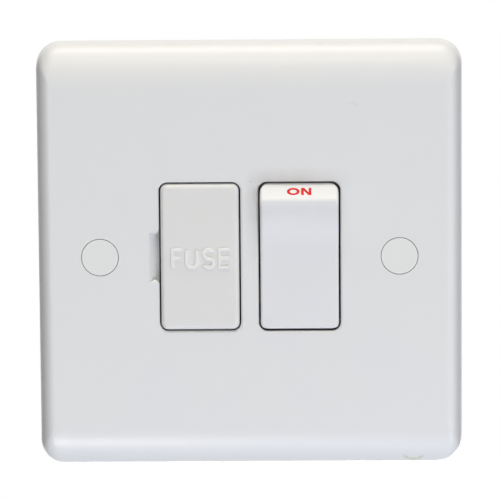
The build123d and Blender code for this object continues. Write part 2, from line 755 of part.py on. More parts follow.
def live_common():
    """Knife edge and the strip that steps over the barrier to the lower fuse clip."""
    x = POLES["live"]
    half = STRIP_THICKNESS / 2
    riser = BARRIER + STRIP_FIT + half
    points = [
        (x + STRIP_WIDTH / 2, CHAMBER_FLOOR - half),
        (riser, CHAMBER_FLOOR - half),
        (riser, DECK - half),
        (-riser, DECK - half),
        (-riser, FUSE_FLOOR + half),
        (CARRIER_X - FUSE_RADIUS, FUSE_FLOOR + half),
    ]
    link = bent_strip(points, STRIP_THICKNESS, STRIP_BEND)
    strip = prism_z(link, around(LINK_Z, STRIP_WIDTH))
    floor = (STRIP_TOP, CHAMBER_FLOOR)
    strip += span(around(x, STRIP_WIDTH), floor, (LINK_Z, KNIFE_RADIUS))
    return strip + knife_edge(x)


def neutral_common():
    """Knife edge and the strip to under the load neutral terminal."""
    x = POLES["neutral"]
    low = STRIP_END - TERMINAL_END
    strip = span(around(x, STRIP_WIDTH), (STRIP_TOP, CHAMBER_FLOOR), (low, KNIFE_RADIUS))
    return strip + knife_edge(x) - clamp_hole(x, -TERMINAL_Z)


def clip_outline():
    """End view of a fuse clip: two sides on a base, with flared mouths."""
    half = FUSE_RADIUS + CLIP_FIT + CLIP_WALL / 2
    base = FUSE_FLOOR - CLIP_WALL / 2
    mouth = CLIP_FRONT - CLIP_FLARE
    points = [
        (-half - CLIP_FLARE, mouth),
        (-half, CLIP_FRONT),
        (-half, base),
        (half, base),
        (half, CLIP_FRONT),
        (half + CLIP_FLARE, mouth),
    ]
    points = [(CARRIER_X + x, y) for x, y in points]
    return bent_strip(points, CLIP_WALL, CLIP_WALL)


def clip_middle():
    return FUSE_LENGTH / 2 - FUSE_CAP_LENGTH / 2 - CLIP_INSET


def fuse_clip_lower():
    return prism_z(clip_outline(), around(-clip_middle(), CLIP_WIDTH))


def fuse_clip_upper():
    """Clip with a tail that steps down to under the load live terminal."""
    clip = prism_z(clip_outline(), around(clip_middle(), CLIP_WIDTH))
    half = CLIP_WALL / 2
    step = CHAMBER_HEIGHT / 2 + CLIP_STEP
    high = TERMINAL_END - STRIP_END
    tail = [
        (FUSE_FLOOR - half, clip_middle()),
        (FUSE_FLOOR - half, step),
        (STRIP_TOP + half, step),
        (STRIP_TOP + half, high),
    ]
    width = around(CARRIER_X, STRIP_WIDTH)
    clip += prism_x(bent_strip(tail, CLIP_WALL, CLIP_WALL), width)
    return clip - clamp_hole(CARRIER_X, TERMINAL_Z)


# Terminals

def terminal(places, back):
    """Brass block with a wire bore along Z and a threaded hole from the rear for each place."""
    xs = [x for x, z in places]
    z = places[0][1]
    middle = sum(xs) / len(xs)
    width = max(xs) - min(xs) + TERMINAL_WIDTH
    ends = around(z, TERMINAL_HEIGHT)
    block = span(around(middle, width), (DECK, back), ends)
    block = chamfer(block.edges().filter_by(Axis.Z), TERMINAL_CHAMFER)
    for x in xs:
        block -= rod_z(TERMINAL_BORE, x, TERMINAL_BORE_Y, (ends[0] - OVERCUT, ends[1] + OVERCUT))
        block -= rod_y(CLAMP_RADIUS + CLAMP_FIT, x, z, (TERMINAL_BORE_Y, back + OVERCUT))
    return block


def clamp_screw(x, z):
    """Terminal screw, backed off until its tip leaves the wire bore free."""
    tip = TERMINAL_BORE_Y + TERMINAL_BORE + CLAMP_BACK_OFF
    head = tip + CLAMP_LENGTH
    screw = rod_y(CLAMP_RADIUS, x, z, (tip, head + CLAMP_HEAD_HEIGHT / 2))
    screw += rod_y(CLAMP_HEAD, x, z, (head, head + CLAMP_HEAD_HEIGHT))
    return screw - slot_cut(x, z, head + CLAMP_HEAD_HEIGHT, 1, CLAMP_HEAD)


# Fuse and its carrier

def fuse_tube():
    half = FUSE_LENGTH / 2 - FUSE_CAP_WALL - FUSE_CAP_FIT
    radius = FUSE_RADIUS - FUSE_CAP_WALL - FUSE_CAP_FIT
    return rod_z(radius, CARRIER_X, FUSE_Y, (-half, half))


def fuse_cap(side):
    """Metal cup over one end of the fuse."""
    outer = side * FUSE_LENGTH / 2
    mouth = outer - side * FUSE_CAP_LENGTH
    floor = outer - side * FUSE_CAP_WALL
    cup = rod_z(FUSE_RADIUS, CARRIER_X, FUSE_Y, sorted((mouth, outer)))
    bore = FUSE_RADIUS - FUSE_CAP_WALL
    return cup - rod_z(bore, CARRIER_X, FUSE_Y, sorted((mouth - side * OVERCUT, floor)))


def carrier_shell():
    """Front panel with soft edges and a skirt behind it."""
    front = FACE - CARRIER_PROUD
    outline = RectangleRounded(INSERT_WIDTH, INSERT_HEIGHT, WINDOW_CORNER - WINDOW_GAP)
    shell = prism_y(outline, (front, FACE + CARRIER_SKIRT), CARRIER_X)
    shell = fillet(shell.faces().sort_by(Axis.Y)[0].edges(), CARRIER_EDGE)
    width = INSERT_WIDTH - 2 * CARRIER_WALL
    height = INSERT_HEIGHT - 2 * CARRIER_WALL
    panel = FACE + CARRIER_PANEL
    shell -= prism_y(Rectangle(width, height), (panel, FACE + CARRIER_SKIRT), CARRIER_X)
    edge = CARRIER_X - INSERT_WIDTH / 2
    lever = (FACE + CARRIER_PANEL, FACE + 2 * CARRIER_PANEL)
    return shell - span((edge - OVERCUT, edge + LEVER_DEPTH), lever, around(0, LEVER_HEIGHT))


def carrier_cradle():
    """Two saddles that hold the fuse and two stops at its ends."""
    root = FACE + CARRIER_PANEL / 2
    width = around(CARRIER_X, SADDLE_WIDTH)
    cradle = Part()
    for side in (-1, 1):
        rib = around(side * SADDLE_Z, SADDLE)
        cradle += span(width, (root, FUSE_Y + SADDLE_WRAP), rib)
        stop = FUSE_LENGTH / 2 + STOP_GAP
        ends = sorted((side * stop, side * (INSERT_HEIGHT / 2 - CARRIER_WALL / 2)))
        cradle += span(around(CARRIER_X, STOP_WIDTH), (root, FUSE_Y + FUSE_RADIUS / 2), ends)
    radius = FUSE_RADIUS - FUSE_CAP_WALL - FUSE_CAP_FIT + SADDLE_FIT
    reach = SADDLE_Z + SADDLE
    return cradle - rod_z(radius, CARRIER_X, FUSE_Y, (-reach, reach))


def fuse_carrier():
    return carrier_shell() + carrier_cradle()


# Every node and the shape it holds

def nodes():
    made = {"front_plate": front_plate(), "rear_housing": rear_housing(), "rocker": rocker()}
    for side, x in FIXINGS.items():
        made[f"screw_cap_{side}"] = screw_cap(x)
        made[f"fixing_screw_{side}"] = fixing_screw(x)
    for corner, (x, z) in COLUMNS.items():
        made[f"housing_screw_{corner}"] = housing_screw(x, z)
    for pole, x in POLES.items():
        made[f"{pole}_plunger"] = plunger(x)
        made[f"{pole}_spring"] = plunger_spring(x)
        made[f"{pole}_moving_contact"] = moving_contact(x)
        made[f"{pole}_moving_tip"] = moving_tip(x)
        made[f"{pole}_fixed_tip"] = fixed_tip(x)
        made[f"{pole}_fixed_contact"] = fixed_contact(x)
    made["live_common"] = live_common()
    made["neutral_common"] = neutral_common()
    made["fuse_clip_upper"] = fuse_clip_upper()
    made["fuse_clip_lower"] = fuse_clip_lower()
    for name, place in TERMINALS.items():
        made[f"{name}_terminal"] = terminal([place], STRIP_TOP)
    made["earth_terminal"] = terminal(list(EARTHS.values()), CHAMBER_FLOOR)
    for name, (x, z) in CLAMPS.items():
        made[f"{name}_screw"] = clamp_screw(x, z)
    made["fuse_carrier"] = fuse_carrier()
    made["fuse_tube"] = fuse_tube()
    made["fuse_cap_upper"] = fuse_cap(1)
    made["fuse_cap_lower"] = fuse_cap(-1)
    return made


os.makedirs("parts", exist_ok=True)
for node, shape in nodes().items():
    export_step(shape, f"parts/{node}.step")
    print(node, round(shape.volume, 1))
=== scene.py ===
# %% [markdown]
# # A fused spur unit
# The object is a white moulded plate for a single wall box, with a fuse carrier at the
# left and a rocker switch at the right. The solid model already holds the pieces and their
# sizes, so this lesson loads it as a fixed frame and adds what it lacks: finishes, grime and marks,
# painted shade, mitred and rounder corners, lettering, screw threads, wound springs, light and a
# camera.

# %% Load the frame
import json
import math

import bmesh
import bpy
from mathutils import Matrix, Vector
from mathutils.interpolate import poly_3d_calc


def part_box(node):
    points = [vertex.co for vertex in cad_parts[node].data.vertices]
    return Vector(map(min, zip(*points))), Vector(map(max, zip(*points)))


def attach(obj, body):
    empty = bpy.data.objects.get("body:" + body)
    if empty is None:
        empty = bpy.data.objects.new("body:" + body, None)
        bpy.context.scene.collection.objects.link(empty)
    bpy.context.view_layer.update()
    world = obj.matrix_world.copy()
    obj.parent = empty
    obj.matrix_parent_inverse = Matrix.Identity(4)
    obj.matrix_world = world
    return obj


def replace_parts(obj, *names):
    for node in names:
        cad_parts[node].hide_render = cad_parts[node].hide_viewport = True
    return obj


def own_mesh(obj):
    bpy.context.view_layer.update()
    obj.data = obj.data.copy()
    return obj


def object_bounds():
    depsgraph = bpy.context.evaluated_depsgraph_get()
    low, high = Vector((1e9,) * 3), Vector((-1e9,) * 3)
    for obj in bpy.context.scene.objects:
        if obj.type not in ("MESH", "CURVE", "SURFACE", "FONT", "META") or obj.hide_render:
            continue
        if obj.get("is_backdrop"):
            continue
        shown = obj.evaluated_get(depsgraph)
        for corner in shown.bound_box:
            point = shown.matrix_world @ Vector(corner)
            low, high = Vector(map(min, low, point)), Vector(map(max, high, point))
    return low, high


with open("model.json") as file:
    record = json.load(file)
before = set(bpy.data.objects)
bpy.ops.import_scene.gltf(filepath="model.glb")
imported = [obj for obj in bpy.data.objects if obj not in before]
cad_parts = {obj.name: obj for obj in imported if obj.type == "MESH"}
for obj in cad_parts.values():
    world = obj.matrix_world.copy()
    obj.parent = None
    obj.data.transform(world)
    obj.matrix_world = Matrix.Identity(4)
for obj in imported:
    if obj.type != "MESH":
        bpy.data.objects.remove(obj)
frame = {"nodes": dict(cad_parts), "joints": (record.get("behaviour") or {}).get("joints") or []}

nodes = frame["nodes"]
cad_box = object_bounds()
MM = 0.001


def in_mm(lengths):
    return [round(length / MM, 2) for length in lengths]


print("nodes", len(nodes), "box", in_mm(cad_box[1] - cad_box[0]))

# %% [markdown]
# ## Shader sums
# A finish is a small sum: a base colour, plus a little cloud, times a grain. Node by node
# that is slow to read. Here one class wraps an output socket, so that `1 - mask` adds a Math
# node by itself, and one method adds any other node: its type, its settings, its sockets.

# %% A socket that can be used in sums
class Socket:
    """A node's output. Sums on it add Math nodes to the same finish."""

    def __init__(self, finish, output):
        self.finish = finish
        self.output = output

    def sum(self, operation, first, second):
        return self.finish.node("ShaderNodeMath", {"operation": operation}, {0: first, 1: second})

    def __add__(self, other):
        return self.sum("ADD", self, other)

    def __radd__(self, other):
        return self.sum("ADD", other, self)

    def __sub__(self, other):
        return self.sum("SUBTRACT", self, other)

    def __rsub__(self, other):
        return self.sum("SUBTRACT", other, self)

    def __mul__(self, other):
        return self.sum("MULTIPLY", self, other)

    def __rmul__(self, other):
        return self.sum("MULTIPLY", other, self)

    def __pow__(self, other):
        return self.sum("POWER", self, other)

    def __abs__(self):
        return self.at_least(-1 * self)

    def at_least(self, other):
        return self.sum("MAXIMUM", self, other)

    def at_most(self, other):
        return self.sum("MINIMUM", self, other)

    def ramp(self, start, end):
        """0 up to the start, 1 from the end on, and even in between. It may run downwards."""
        return ((self - start) * (1 / (end - start))).at_least(0).at_most(1)


# %% A material or a world that takes nodes
MIX_FACTOR, MIX_FIRST, MIX_SECOND = 0, 6, 7
MIXED_COLOUR = 2


class Finish:
    """A material or a world, and the method that adds a node to it."""

    def __init__(self, owner):
        owner.use_nodes = True
        self.owner = owner
        self.tree = owner.node_tree
        self.tree.nodes.clear()

    def node(self, kind, settings=None, sockets=None, output=0):
        made = self.tree.nodes.new(kind)
        for name, value in (settings or {}).items():
            setattr(made, name, value)
        for name, value in (sockets or {}).items():
            if isinstance(value, Socket):
                self.tree.links.new(value.output, made.inputs[name])
            else:
                made.inputs[name].default_value = value
        return Socket(self, made.outputs[output]) if made.outputs else None

    def blend(self, factor, first, second):
        """Colour that runs from the first to the second as the factor goes from 0 to 1."""
        sockets = {MIX_FACTOR: factor, MIX_FIRST: first, MIX_SECOND: second}
        return self.node("ShaderNodeMix", {"data_type": "RGBA"}, sockets, MIXED_COLOUR)


def srgb(red, green, blue):
    """Colour as an eye reads it, 0 to 255, turned into the linear values of a shader."""
    linear = []
    for value in (red, green, blue):
        share = value / 255
        linear.append(share / 12.92 if share <= 0.04045 else ((share + 0.055) / 1.055) ** 2.4)
    return (*linear, 1)


print("white 217 is", round(srgb(217, 217, 217)[0], 3), "in linear light")

# %% [markdown]
# ## Moulded plastic
# The plate, the carrier, the rocker and the caps are moulded in a white thermoset. Such a face
# isn't one flat tone: it has faint clouds where the flow met, a fine satin grain from the
# tool, and a gloss that changes a little from place to place. An image could hold that, but
# noise in the object's own space needs no unwrapping and keeps its scale on every piece.

# %% White plastic
CLOUD = 70
GRAIN = 5200
SHEEN = 260
SHEEN_CHANGE = 0.1
COOLER = (-0.016, -0.012, -0.004)
WARMER = (0.014, 0.012, 0.004)
PLASTIC_IOR = 1.46


def object_place(finish):
    return finish.node("ShaderNodeTexCoord", output="Object")


def noise(finish, scale, detail=2.0, place=None):
    place = place or object_place(finish)
    sockets = {"Vector": place, "Scale": scale, "Detail": detail}
    return finish.node("ShaderNodeTexNoise", None, sockets)


def surface(finish, colour, roughness, normal=None, **constants):
    """Principled surface and output. The constants go straight to their own sockets."""
    sockets = {"Base Color": colour, "Roughness": roughness}
    sockets.update({name.replace("_", " "): value for name, value in constants.items()})
    if normal is not None:
        sockets["Normal"] = normal
    shader = finish.node("ShaderNodeBsdfPrincipled", None, sockets)
    finish.node("ShaderNodeOutputMaterial", None, {"Surface": shader})
    return finish.owner


def bump(finish, height, strength, distance):
    sockets = {"Height": height, "Strength": strength, "Distance": distance}
    return finish.node("ShaderNodeBump", None, sockets)


def new_finish(name):
    return Finish(bpy.data.materials.new(name))


def tinted(colour, change):
    return (*[min(1, c * (1 + d)) for c, d in zip(colour[:3], change)], 1)


def white_plastic(name, tone, roughness, marks=()):
    """Clouded white with a fine grain. Each mark is laid over the colour before it."""
    finish = new_finish(name)
    cloud = noise(finish, CLOUD, detail=3.0)
    grain = noise(finish, GRAIN)
    colour = finish.blend(cloud, tinted(tone, COOLER), tinted(tone, WARMER))
    for mark in marks:
        colour = mark(finish, colour)
    rough = roughness + SHEEN_CHANGE * (noise(finish, SHEEN) - 0.5)
    skin = 0.75 * grain + 0.25 * cloud
    normal = bump(finish, skin, strength=0.12, distance=0.02 * MM)
    return surface(finish, colour, rough, normal, IOR=PLASTIC_IOR)


print("size of clouds, sheen and grain in mm:", in_mm(1 / scale for scale in (CLOUD, SHEEN, GRAIN)))

# %% [markdown]
# ## The stain
# Near the right end of the plate's lower edge there is a faint yellowish smear. It belongs
# to this very plate, so it is painted where it lies: a streak along the edge whose ends bend
# up towards the face, broken up by noise so that its outline isn't a drawn curve.

# %% Stain on the lower edge
STAIN_PLACE = (33.0 * MM, -6.75 * MM)
STAIN_HALF = (2.15 * MM, 0.5 * MM)
STAIN_BEND = 1.3
STAIN_BREAKS = 1100
STAIN_RAGGED = 3.2
STAIN_RIM = (1.2, 0.2)
STAIN_BELOW = (-40.8 * MM, -41.05 * MM)
STAIN_TONE = srgb(202, 203, 184)
STAIN_SHARE = 0.9


def three_axes(finish):
    place = object_place(finish)
    return [finish.node("ShaderNodeSeparateXYZ", None, {0: place}, axis) for axis in "XYZ"]


def lower_edge_stain(finish, colour):
    x, y, z = three_axes(finish)
    across = (x - STAIN_PLACE[0]) * (1 / STAIN_HALF[0])
    along_edge = across * across
    back = (y - STAIN_PLACE[1]) * (1 / STAIN_HALF[1]) + STAIN_BEND * along_edge
    ragged = STAIN_RAGGED * (noise(finish, STAIN_BREAKS, detail=4.0) - 0.5)
    outline = along_edge * along_edge + back * back + ragged
    mask = z.ramp(*STAIN_BELOW) * outline.ramp(*STAIN_RIM)
    return finish.blend(STAIN_SHARE * mask, colour, STAIN_TONE)


print("stain at", in_mm(STAIN_PLACE), "with half sizes", in_mm(STAIN_HALF))

# %% [markdown]
# ## Painted shadow and finger grime
# Above the rocker and along the upper half of its left side the plate is darker: partly the
# shadow of the rocker's raised top, painted here, and partly the warm grey grime that years of
# fingers leave round a switch. It is strongest at the gap and gone three millimetres away. The
# rocker itself gets painted shade under the facet. It could be painted by hand, but a distance
# from the window's outline, faded to the right and downwards, is easier to move.

# %% Painted shadow and grime round the rocker
SIDE_GAP = 0.33 * MM
END_GAP = 0.15 * MM
FRONT_ONLY = (-9.25 * MM, -9.375 * MM)
SHADOW_GRIME_REACH = 3.1 * MM
SHADOW_GRIME_RISE = (-4 * MM, 8 * MM)
SHADOW_GRIME_RIGHT = (21 * MM, 11 * MM)
SHADOW_GRIME_LEFT = (-0.8 * MM, 3.2 * MM)
LEAST_RIGHT = 0.25
LEAST_LEFT = 0.6
SHADE_AND_GRIME_BREAKS = 420
# Tone of the painted shadow and shade, and of the finger grime.
SHADE_AND_GRIME_TONE = srgb(151, 146, 140)
SHADOW_GRIME_SHARE = 0.37
rocker_low, rocker_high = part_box("rocker")
WINDOW_MIDDLE = (rocker_low.x + rocker_high.x) / 2
WINDOW_HALF = (rocker_high.x - WINDOW_MIDDLE + SIDE_GAP, rocker_high.z + END_GAP)


def distance(across, upward):
    return (across * across + upward * upward) ** 0.5


def patches(finish):
    """Factor about 1 that breaks up the painted shade and grime."""
    return 0.7 + 0.6 * noise(finish, SHADE_AND_GRIME_BREAKS, detail=3.0)


# Painted shadow of the rocker's raised top mixed with finger grime: darkest at the gap, fading with
# distance, to the right and downwards.
def shadow_and_grime_on_plate(finish, colour):
    x, y, z = three_axes(finish)
    beside = (abs(x - WINDOW_MIDDLE) - WINDOW_HALF[0]).at_least(0)
    above = (z - WINDOW_HALF[1]).at_least(0)
    near = distance(beside, above).ramp(SHADOW_GRIME_REACH, 0)
    right = x.ramp(*SHADOW_GRIME_RIGHT).at_least(LEAST_RIGHT)
    left = x.ramp(*SHADOW_GRIME_LEFT).at_least(LEAST_LEFT)
    darkening = near * z.ramp(*SHADOW_GRIME_RISE) * right * left * y.ramp(*FRONT_ONLY) * patches(finish)
    return finish.blend(SHADOW_GRIME_SHARE * darkening, colour, SHADE_AND_GRIME_TONE)


print("window of the rocker: middle and halves", in_mm((WINDOW_MIDDLE, *WINDOW_HALF)))

# %% Painted shade on the rocker
UNDER_FACET = (10.9 * MM, 10.57 * MM)
ROCKER_FADE = (4.4 * MM, 9.4 * MM)
ROCKER_SHADE_SHARE = 0.16


# Painted shade on the rocker, darkest just under its facet and fading downwards.
def shade_on_rocker(finish, colour):
    z = three_axes(finish)[2]
    darkening = z.ramp(*UNDER_FACET) * z.ramp(*ROCKER_FADE) * patches(finish)
    return finish.blend(ROCKER_SHADE_SHARE * darkening, colour, SHADE_AND_GRIME_TONE)


print("film on the rocker from", in_mm(UNDER_FACET), "down to", in_mm(ROCKER_FADE))

# %% [markdown]
# ## Painted shade in the gap, a scratch and a speck
# The gap round the rocker looks almost black with a brown tinge, darker than a clean white
# gap of this depth could be. So shade is painted on the window's walls there: they are browned
# from just under the rim and fade back to white behind. A short scratch on the upper right of
# the face and a speck between the windows are strokes, faded out from their middle lines.

# %% Painted shade in the rocker's gap
GAP_WALL = (0.2 * MM, 0.1 * MM)
GAP_RIM = (-9.3 * MM, -9.13 * MM)
GAP_FADE = (-6.4 * MM, -7.83 * MM)
# Brown tone of the painted shade in the gap.
GAP_SHADE_TONE = srgb(74, 54, 40)
GAP_SHADE_SHARE = 0.9


# Painted shade on the walls of the rocker's window, darkest just under the rim.
def shade_in_gap(finish, colour):
    x, y, z = three_axes(finish)
    across = abs(x - WINDOW_MIDDLE) - WINDOW_HALF[0]
    upward = abs(z) - WINDOW_HALF[1]
    inside = across.at_least(upward).ramp(*GAP_WALL)
    shade = inside * y.ramp(*GAP_RIM) * y.ramp(*GAP_FADE)
    return finish.blend(GAP_SHADE_SHARE * shade, colour, GAP_SHADE_TONE)


print("dirt in the gap between", in_mm((GAP_RIM[0], GAP_FADE[0])))

# %% Scratch and speck
SMALL_MARKS = (
    {"start": (20.87, 31.13), "end": (21.92, 30.32), "half_width": 0.17, "share": 0.17},
    {"start": (20.03, 30.86), "end": (20.60, 30.84), "half_width": 0.22, "share": 0.1},
    {"start": (0.25, 15.20), "end": (0.33, 15.16), "half_width": 0.26, "share": 0.36},
)
MARK_TONE = srgb(126, 124, 118)


def small_marks(finish, colour):
    x, y, z = three_axes(finish)
    front = y.ramp(*FRONT_ONLY)
    for mark in SMALL_MARKS:
        start = Vector(mark["start"]) * MM
        run = Vector(mark["end"]) * MM - start
        across, upward = x - start.x, z - start.y
        part = (across * run.x + upward * run.y).ramp(0, run.length_squared)
        away = distance(across - part * run.x, upward - part * run.y)
        stroke = away.ramp(mark["half_width"] * MM, 0)
        colour = finish.blend(mark["share"] * stroke * front, colour, MARK_TONE)
    return colour


print("small marks", len(SMALL_MARKS))

# %% The white finishes
# The plate's marks: a real stain, painted shadow with finger grime, painted shade in the gap, a
# scratch and a speck.
PLATE_MARKS = (lower_edge_stain, shadow_and_grime_on_plate, shade_in_gap, small_marks)
PLASTICS = {
    "plate_white": (srgb(221, 222, 223), 0.34, PLATE_MARKS),
    "carrier_white": (srgb(219, 219, 218), 0.38),
    # The rocker's white carries painted shade under its facet.
    "rocker_white": (srgb(221, 222, 225), 0.40, (shade_on_rocker,)),
    "cap_white": (srgb(221, 224, 222), 0.42),
    # A lighter white for the raised word: a painted highlight where the beads' tops catch the
    # light.
    "word_highlight_white": (srgb(227, 227, 226), 0.34),
}
finishes = {name: white_plastic(name, *recipe) for name, recipe in PLASTICS.items()}
print("plastics", list(finishes))

# %% [markdown]
# ## Dark moulding, nylon and ceramic
# The rear housing is a dark filled thermoset: nearly black, with pale specks of filler and a
# dull skin. The plungers are natural nylon, which is milky and a little see-through, and the
# fuse has a ceramic body that is chalky with fine pores. Specks and pores are the same trick:
# a noise that is cut off high, so that only its peaks are left.

# %% Dull materials
HOUSING_TONES = (srgb(38, 37, 37), srgb(50, 49, 48))
FILLER_TONE = srgb(92, 90, 86)
FILLER_PEAKS = (0.62, 0.745)
NYLON_TONES = (srgb(222, 218, 204), srgb(232, 229, 217))
CERAMIC_TONES = (srgb(226, 222, 210), srgb(236, 233, 224))
PORE_TONE = srgb(190, 184, 168)
PORE_PEAKS = (0.58, 0.723)


def dark_moulding(name):
    finish = new_finish(name)
    specks = noise(finish, scale=3600).ramp(*FILLER_PEAKS)
    cloud = finish.blend(noise(finish, scale=90, detail=3.0), *HOUSING_TONES)
    colour = finish.blend(0.35 * specks, cloud, FILLER_TONE)
    rough = 0.5 + 0.18 * noise(finish, scale=400)
    skin = noise(finish, scale=2200, detail=3.0)
    return surface(finish, colour, rough, bump(finish, skin, strength=0.2, distance=0.03 * MM))


def milky_nylon(name):
    finish = new_finish(name)
    cloud = noise(finish, scale=300)
    colour = finish.blend(cloud, *NYLON_TONES)
    normal = bump(finish, noise(finish, scale=2600), strength=0.1, distance=0.02 * MM)
    return surface(finish, colour, 0.34 + 0.1 * cloud, normal, Subsurface_Weight=0.15)


def chalky_ceramic(name):
    finish = new_finish(name)
    pores = noise(finish, scale=2400, detail=3.0).ramp(*PORE_PEAKS)
    cloud = finish.blend(noise(finish, scale=160, detail=3.0), *CERAMIC_TONES)
    colour = finish.blend(0.25 * pores, cloud, PORE_TONE)
    normal = bump(finish, 1 - pores, strength=0.15, distance=0.03 * MM)
    return surface(finish, colour, 0.55 + 0.15 * pores, normal)


finishes["housing_dark"] = dark_moulding("housing_dark")
finishes["nylon"] = milky_nylon("nylon")
finishes["fuse_ceramic"] = chalky_ceramic("fuse_ceramic")
print("dull finishes", [name for name in finishes if name not in PLASTICS])

# %% [markdown]
# ## Metals
# Brass terminals are turned from bar, copper strips are rolled and then handled, screws are
# zinc plated. All share one recipe: two tones of the metal, fine scratches along one axis
# made by stretching the noise, and darker patches of tarnish that are also rougher.

# %% Metals
DRAWN_OUT = (1.0, 1.0, 9.0)
SCRATCHES = 1500
PATCHES = 330
PATCH_CONTRAST = 3.0


def worked_metal(name, bright, dull, roughness, tarnish):
    finish = new_finish(name)
    place = object_place(finish)
    stretch = {0: place, 1: DRAWN_OUT}
    drawn = finish.node("ShaderNodeVectorMath", {"operation": "MULTIPLY"}, stretch)
    scratch = noise(finish, SCRATCHES, detail=3.0, place=drawn)
    uneven = PATCH_CONTRAST * (noise(finish, PATCHES, detail=4.0, place=place) - 0.5)
    patch = (uneven + tarnish).ramp(0, 1)
    colour = finish.blend(patch, bright, dull)
    rough = roughness + 0.14 * scratch + 0.16 * patch
    normal = bump(finish, scratch, strength=0.16, distance=0.02 * MM)
    return surface(finish, colour, rough, normal, Metallic=1.0)


METALS = {
    "brass": (srgb(214, 178, 106), srgb(160, 120, 62), 0.24, 0.25),
    "copper": (srgb(206, 128, 92), srgb(122, 66, 44), 0.26, 0.35),
    "zinc_screw": (srgb(196, 197, 194), srgb(150, 150, 145), 0.34, 0.25),
    "spring_steel": (srgb(178, 180, 184), srgb(120, 120, 124), 0.25, 0.2),
    "silver_tip": (srgb(224, 223, 218), srgb(164, 158, 146), 0.24, 0.15),
    "fuse_metal": (srgb(214, 212, 206), srgb(168, 163, 152), 0.26, 0.2),
}
for name, recipe in METALS.items():
    finishes[name] = worked_metal(name, *recipe)
print("finishes", len(finishes))

# %% [markdown]
# ## Finishes on the solids
# Every node of the frame gets a finish. A table from the start or the ending of a node's name
# to a finish is shorter than naming all of them, and a node that no line of the tables covers
# stops the script, so that none is left grey.

# %% Assign the finishes
NODE_START = (
    ("front_plate", "plate_white"),
    ("rear_housing", "housing_dark"),
    ("rocker", "rocker_white"),
    ("screw_cap_", "cap_white"),
    ("fixing_screw_", "zinc_screw"),
    ("housing_screw_", "zinc_screw"),
    ("fuse_carrier", "carrier_white"),
    ("fuse_tube", "fuse_ceramic"),
    ("fuse_cap_", "fuse_metal"),
    ("fuse_clip_", "brass"),
)
NODE_ENDING = (
    ("_plunger", "nylon"),
    ("_spring", "spring_steel"),
    ("_moving_contact", "copper"),
    ("_tip", "silver_tip"),
    ("_fixed_contact", "copper"),
    ("_common", "copper"),
    ("_terminal", "brass"),
    ("_screw", "zinc_screw"),
)


def finish_of(node):
    for start, finish in NODE_START:
        if node.startswith(start):
            return finish
    return next(finish for ending, finish in NODE_ENDING if node.endswith(ending))


for name, obj in nodes.items():
    obj.data.materials.clear()
    obj.data.materials.append(finishes[finish_of(name)])
print("dressed", len(nodes), "nodes")

# %% [markdown]
# ## The plate's corners and its notch
# The plate's rolled edge is narrower at the two sides than at the top and the foot. At each
# corner its bands meet almost like a mitre, and the notch beside the carrier has a plain
# sloping floor. The solid has one roll on all four sides and one corner radius from the flank
# to the face, and the floor of its notch is rolled. A copy of its mesh stands in for it here.
# Points on the rolled edge are drawn outwards, points of the floor go down to the slope, and
# the shading normals come from the same formulas, so that no facet shows.

# %% Corners of the rolled edge
EDGE_WIDTH = 9.0
EDGE_DROP = 4.5
SIDE_DRAFT = 0.25
SIDE_SHARE = 0.38
SOLID_CORNER = 5.0
FACE_CORNER = 0.5
ON_ROLL = 0.02
HAIR = 0.001
plate_low, plate_high = (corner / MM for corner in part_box("front_plate"))
FACE = plate_low.y
OUTER = plate_high.x - SIDE_DRAFT
ROLL = EDGE_WIDTH - SIDE_DRAFT


def on_section(x, z):
    """Half width of the solid's section through a point, and the corner's cosine and sine."""
    root = 2 * SOLID_CORNER**2 - (x - z) ** 2
    if root > 0:
        half = (x + z - math.sqrt(root)) / 2 + SOLID_CORNER
        c, s = (1 - (half - reach) / SOLID_CORNER for reach in (x, z))
        if min(c, s) > -HAIR:
            return half, max(0, c), max(0, s)
    return max(x, z), float(x > z), float(x < z)


def reshaped(place):
    """New place and normal of a point on the solid's rolled edge, or nothing."""
    x, z = abs(place.x), abs(place.z)
    half, c, s = on_section(x, z)
    sine = (FACE + EDGE_DROP - place.y) / EDGE_DROP
    cosine = 1 - (OUTER - half) / ROLL
    if sine < HAIR or cosine < -HAIR / 2 or abs(math.hypot(sine, cosine) - 1) > ON_ROLL:
        return None
    turn = math.atan2(sine, max(0, cosine))
    lost = SOLID_CORNER - FACE_CORNER
    radius = FACE_CORNER + lost * math.cos(turn) ** 2
    narrowing = 2 * lost * math.cos(turn) * math.sin(turn)
    half_across = OUTER - SIDE_SHARE * ROLL * (1 - math.cos(turn))
    slope = ROLL * math.sin(turn) * (SIDE_SHARE * c + s) - narrowing * (c + s - 1)
    rise = EDGE_DROP * math.cos(turn)
    straight = half - SOLID_CORNER
    new_x = (half_across - radius) * min(1, x / straight) + radius * c
    new_z = (half - radius) * min(1, z / straight) + radius * s
    moved = Vector((new_x, place.y, new_z))
    side = Vector((math.copysign(1, place.x), 1, math.copysign(1, place.z)))
    return moved * side, (Vector((rise * c, -slope, rise * s)) * side).normalized()


print("roll", ROLL, "mm wide at the top,", round(SIDE_SHARE * ROLL, 2), "mm at the sides")

# %% Floor of the notch
NOTCH_WIDTH = 2.05
NOTCH_DEPTH = 2.4
NOTCH_HALF = 5.6
CARRIER_GAP = 0.33
FLOOR_MARGIN = 0.02
ON_FLOOR = 0.06
BEHIND_FACE = 0.003
UPRIGHT = 0.1
NOTCH_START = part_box("fuse_carrier")[0].x / MM - CARRIER_GAP - NOTCH_WIDTH
FLOOR_NORMAL = Vector((NOTCH_DEPTH, -NOTCH_WIDTH, 0)).normalized()


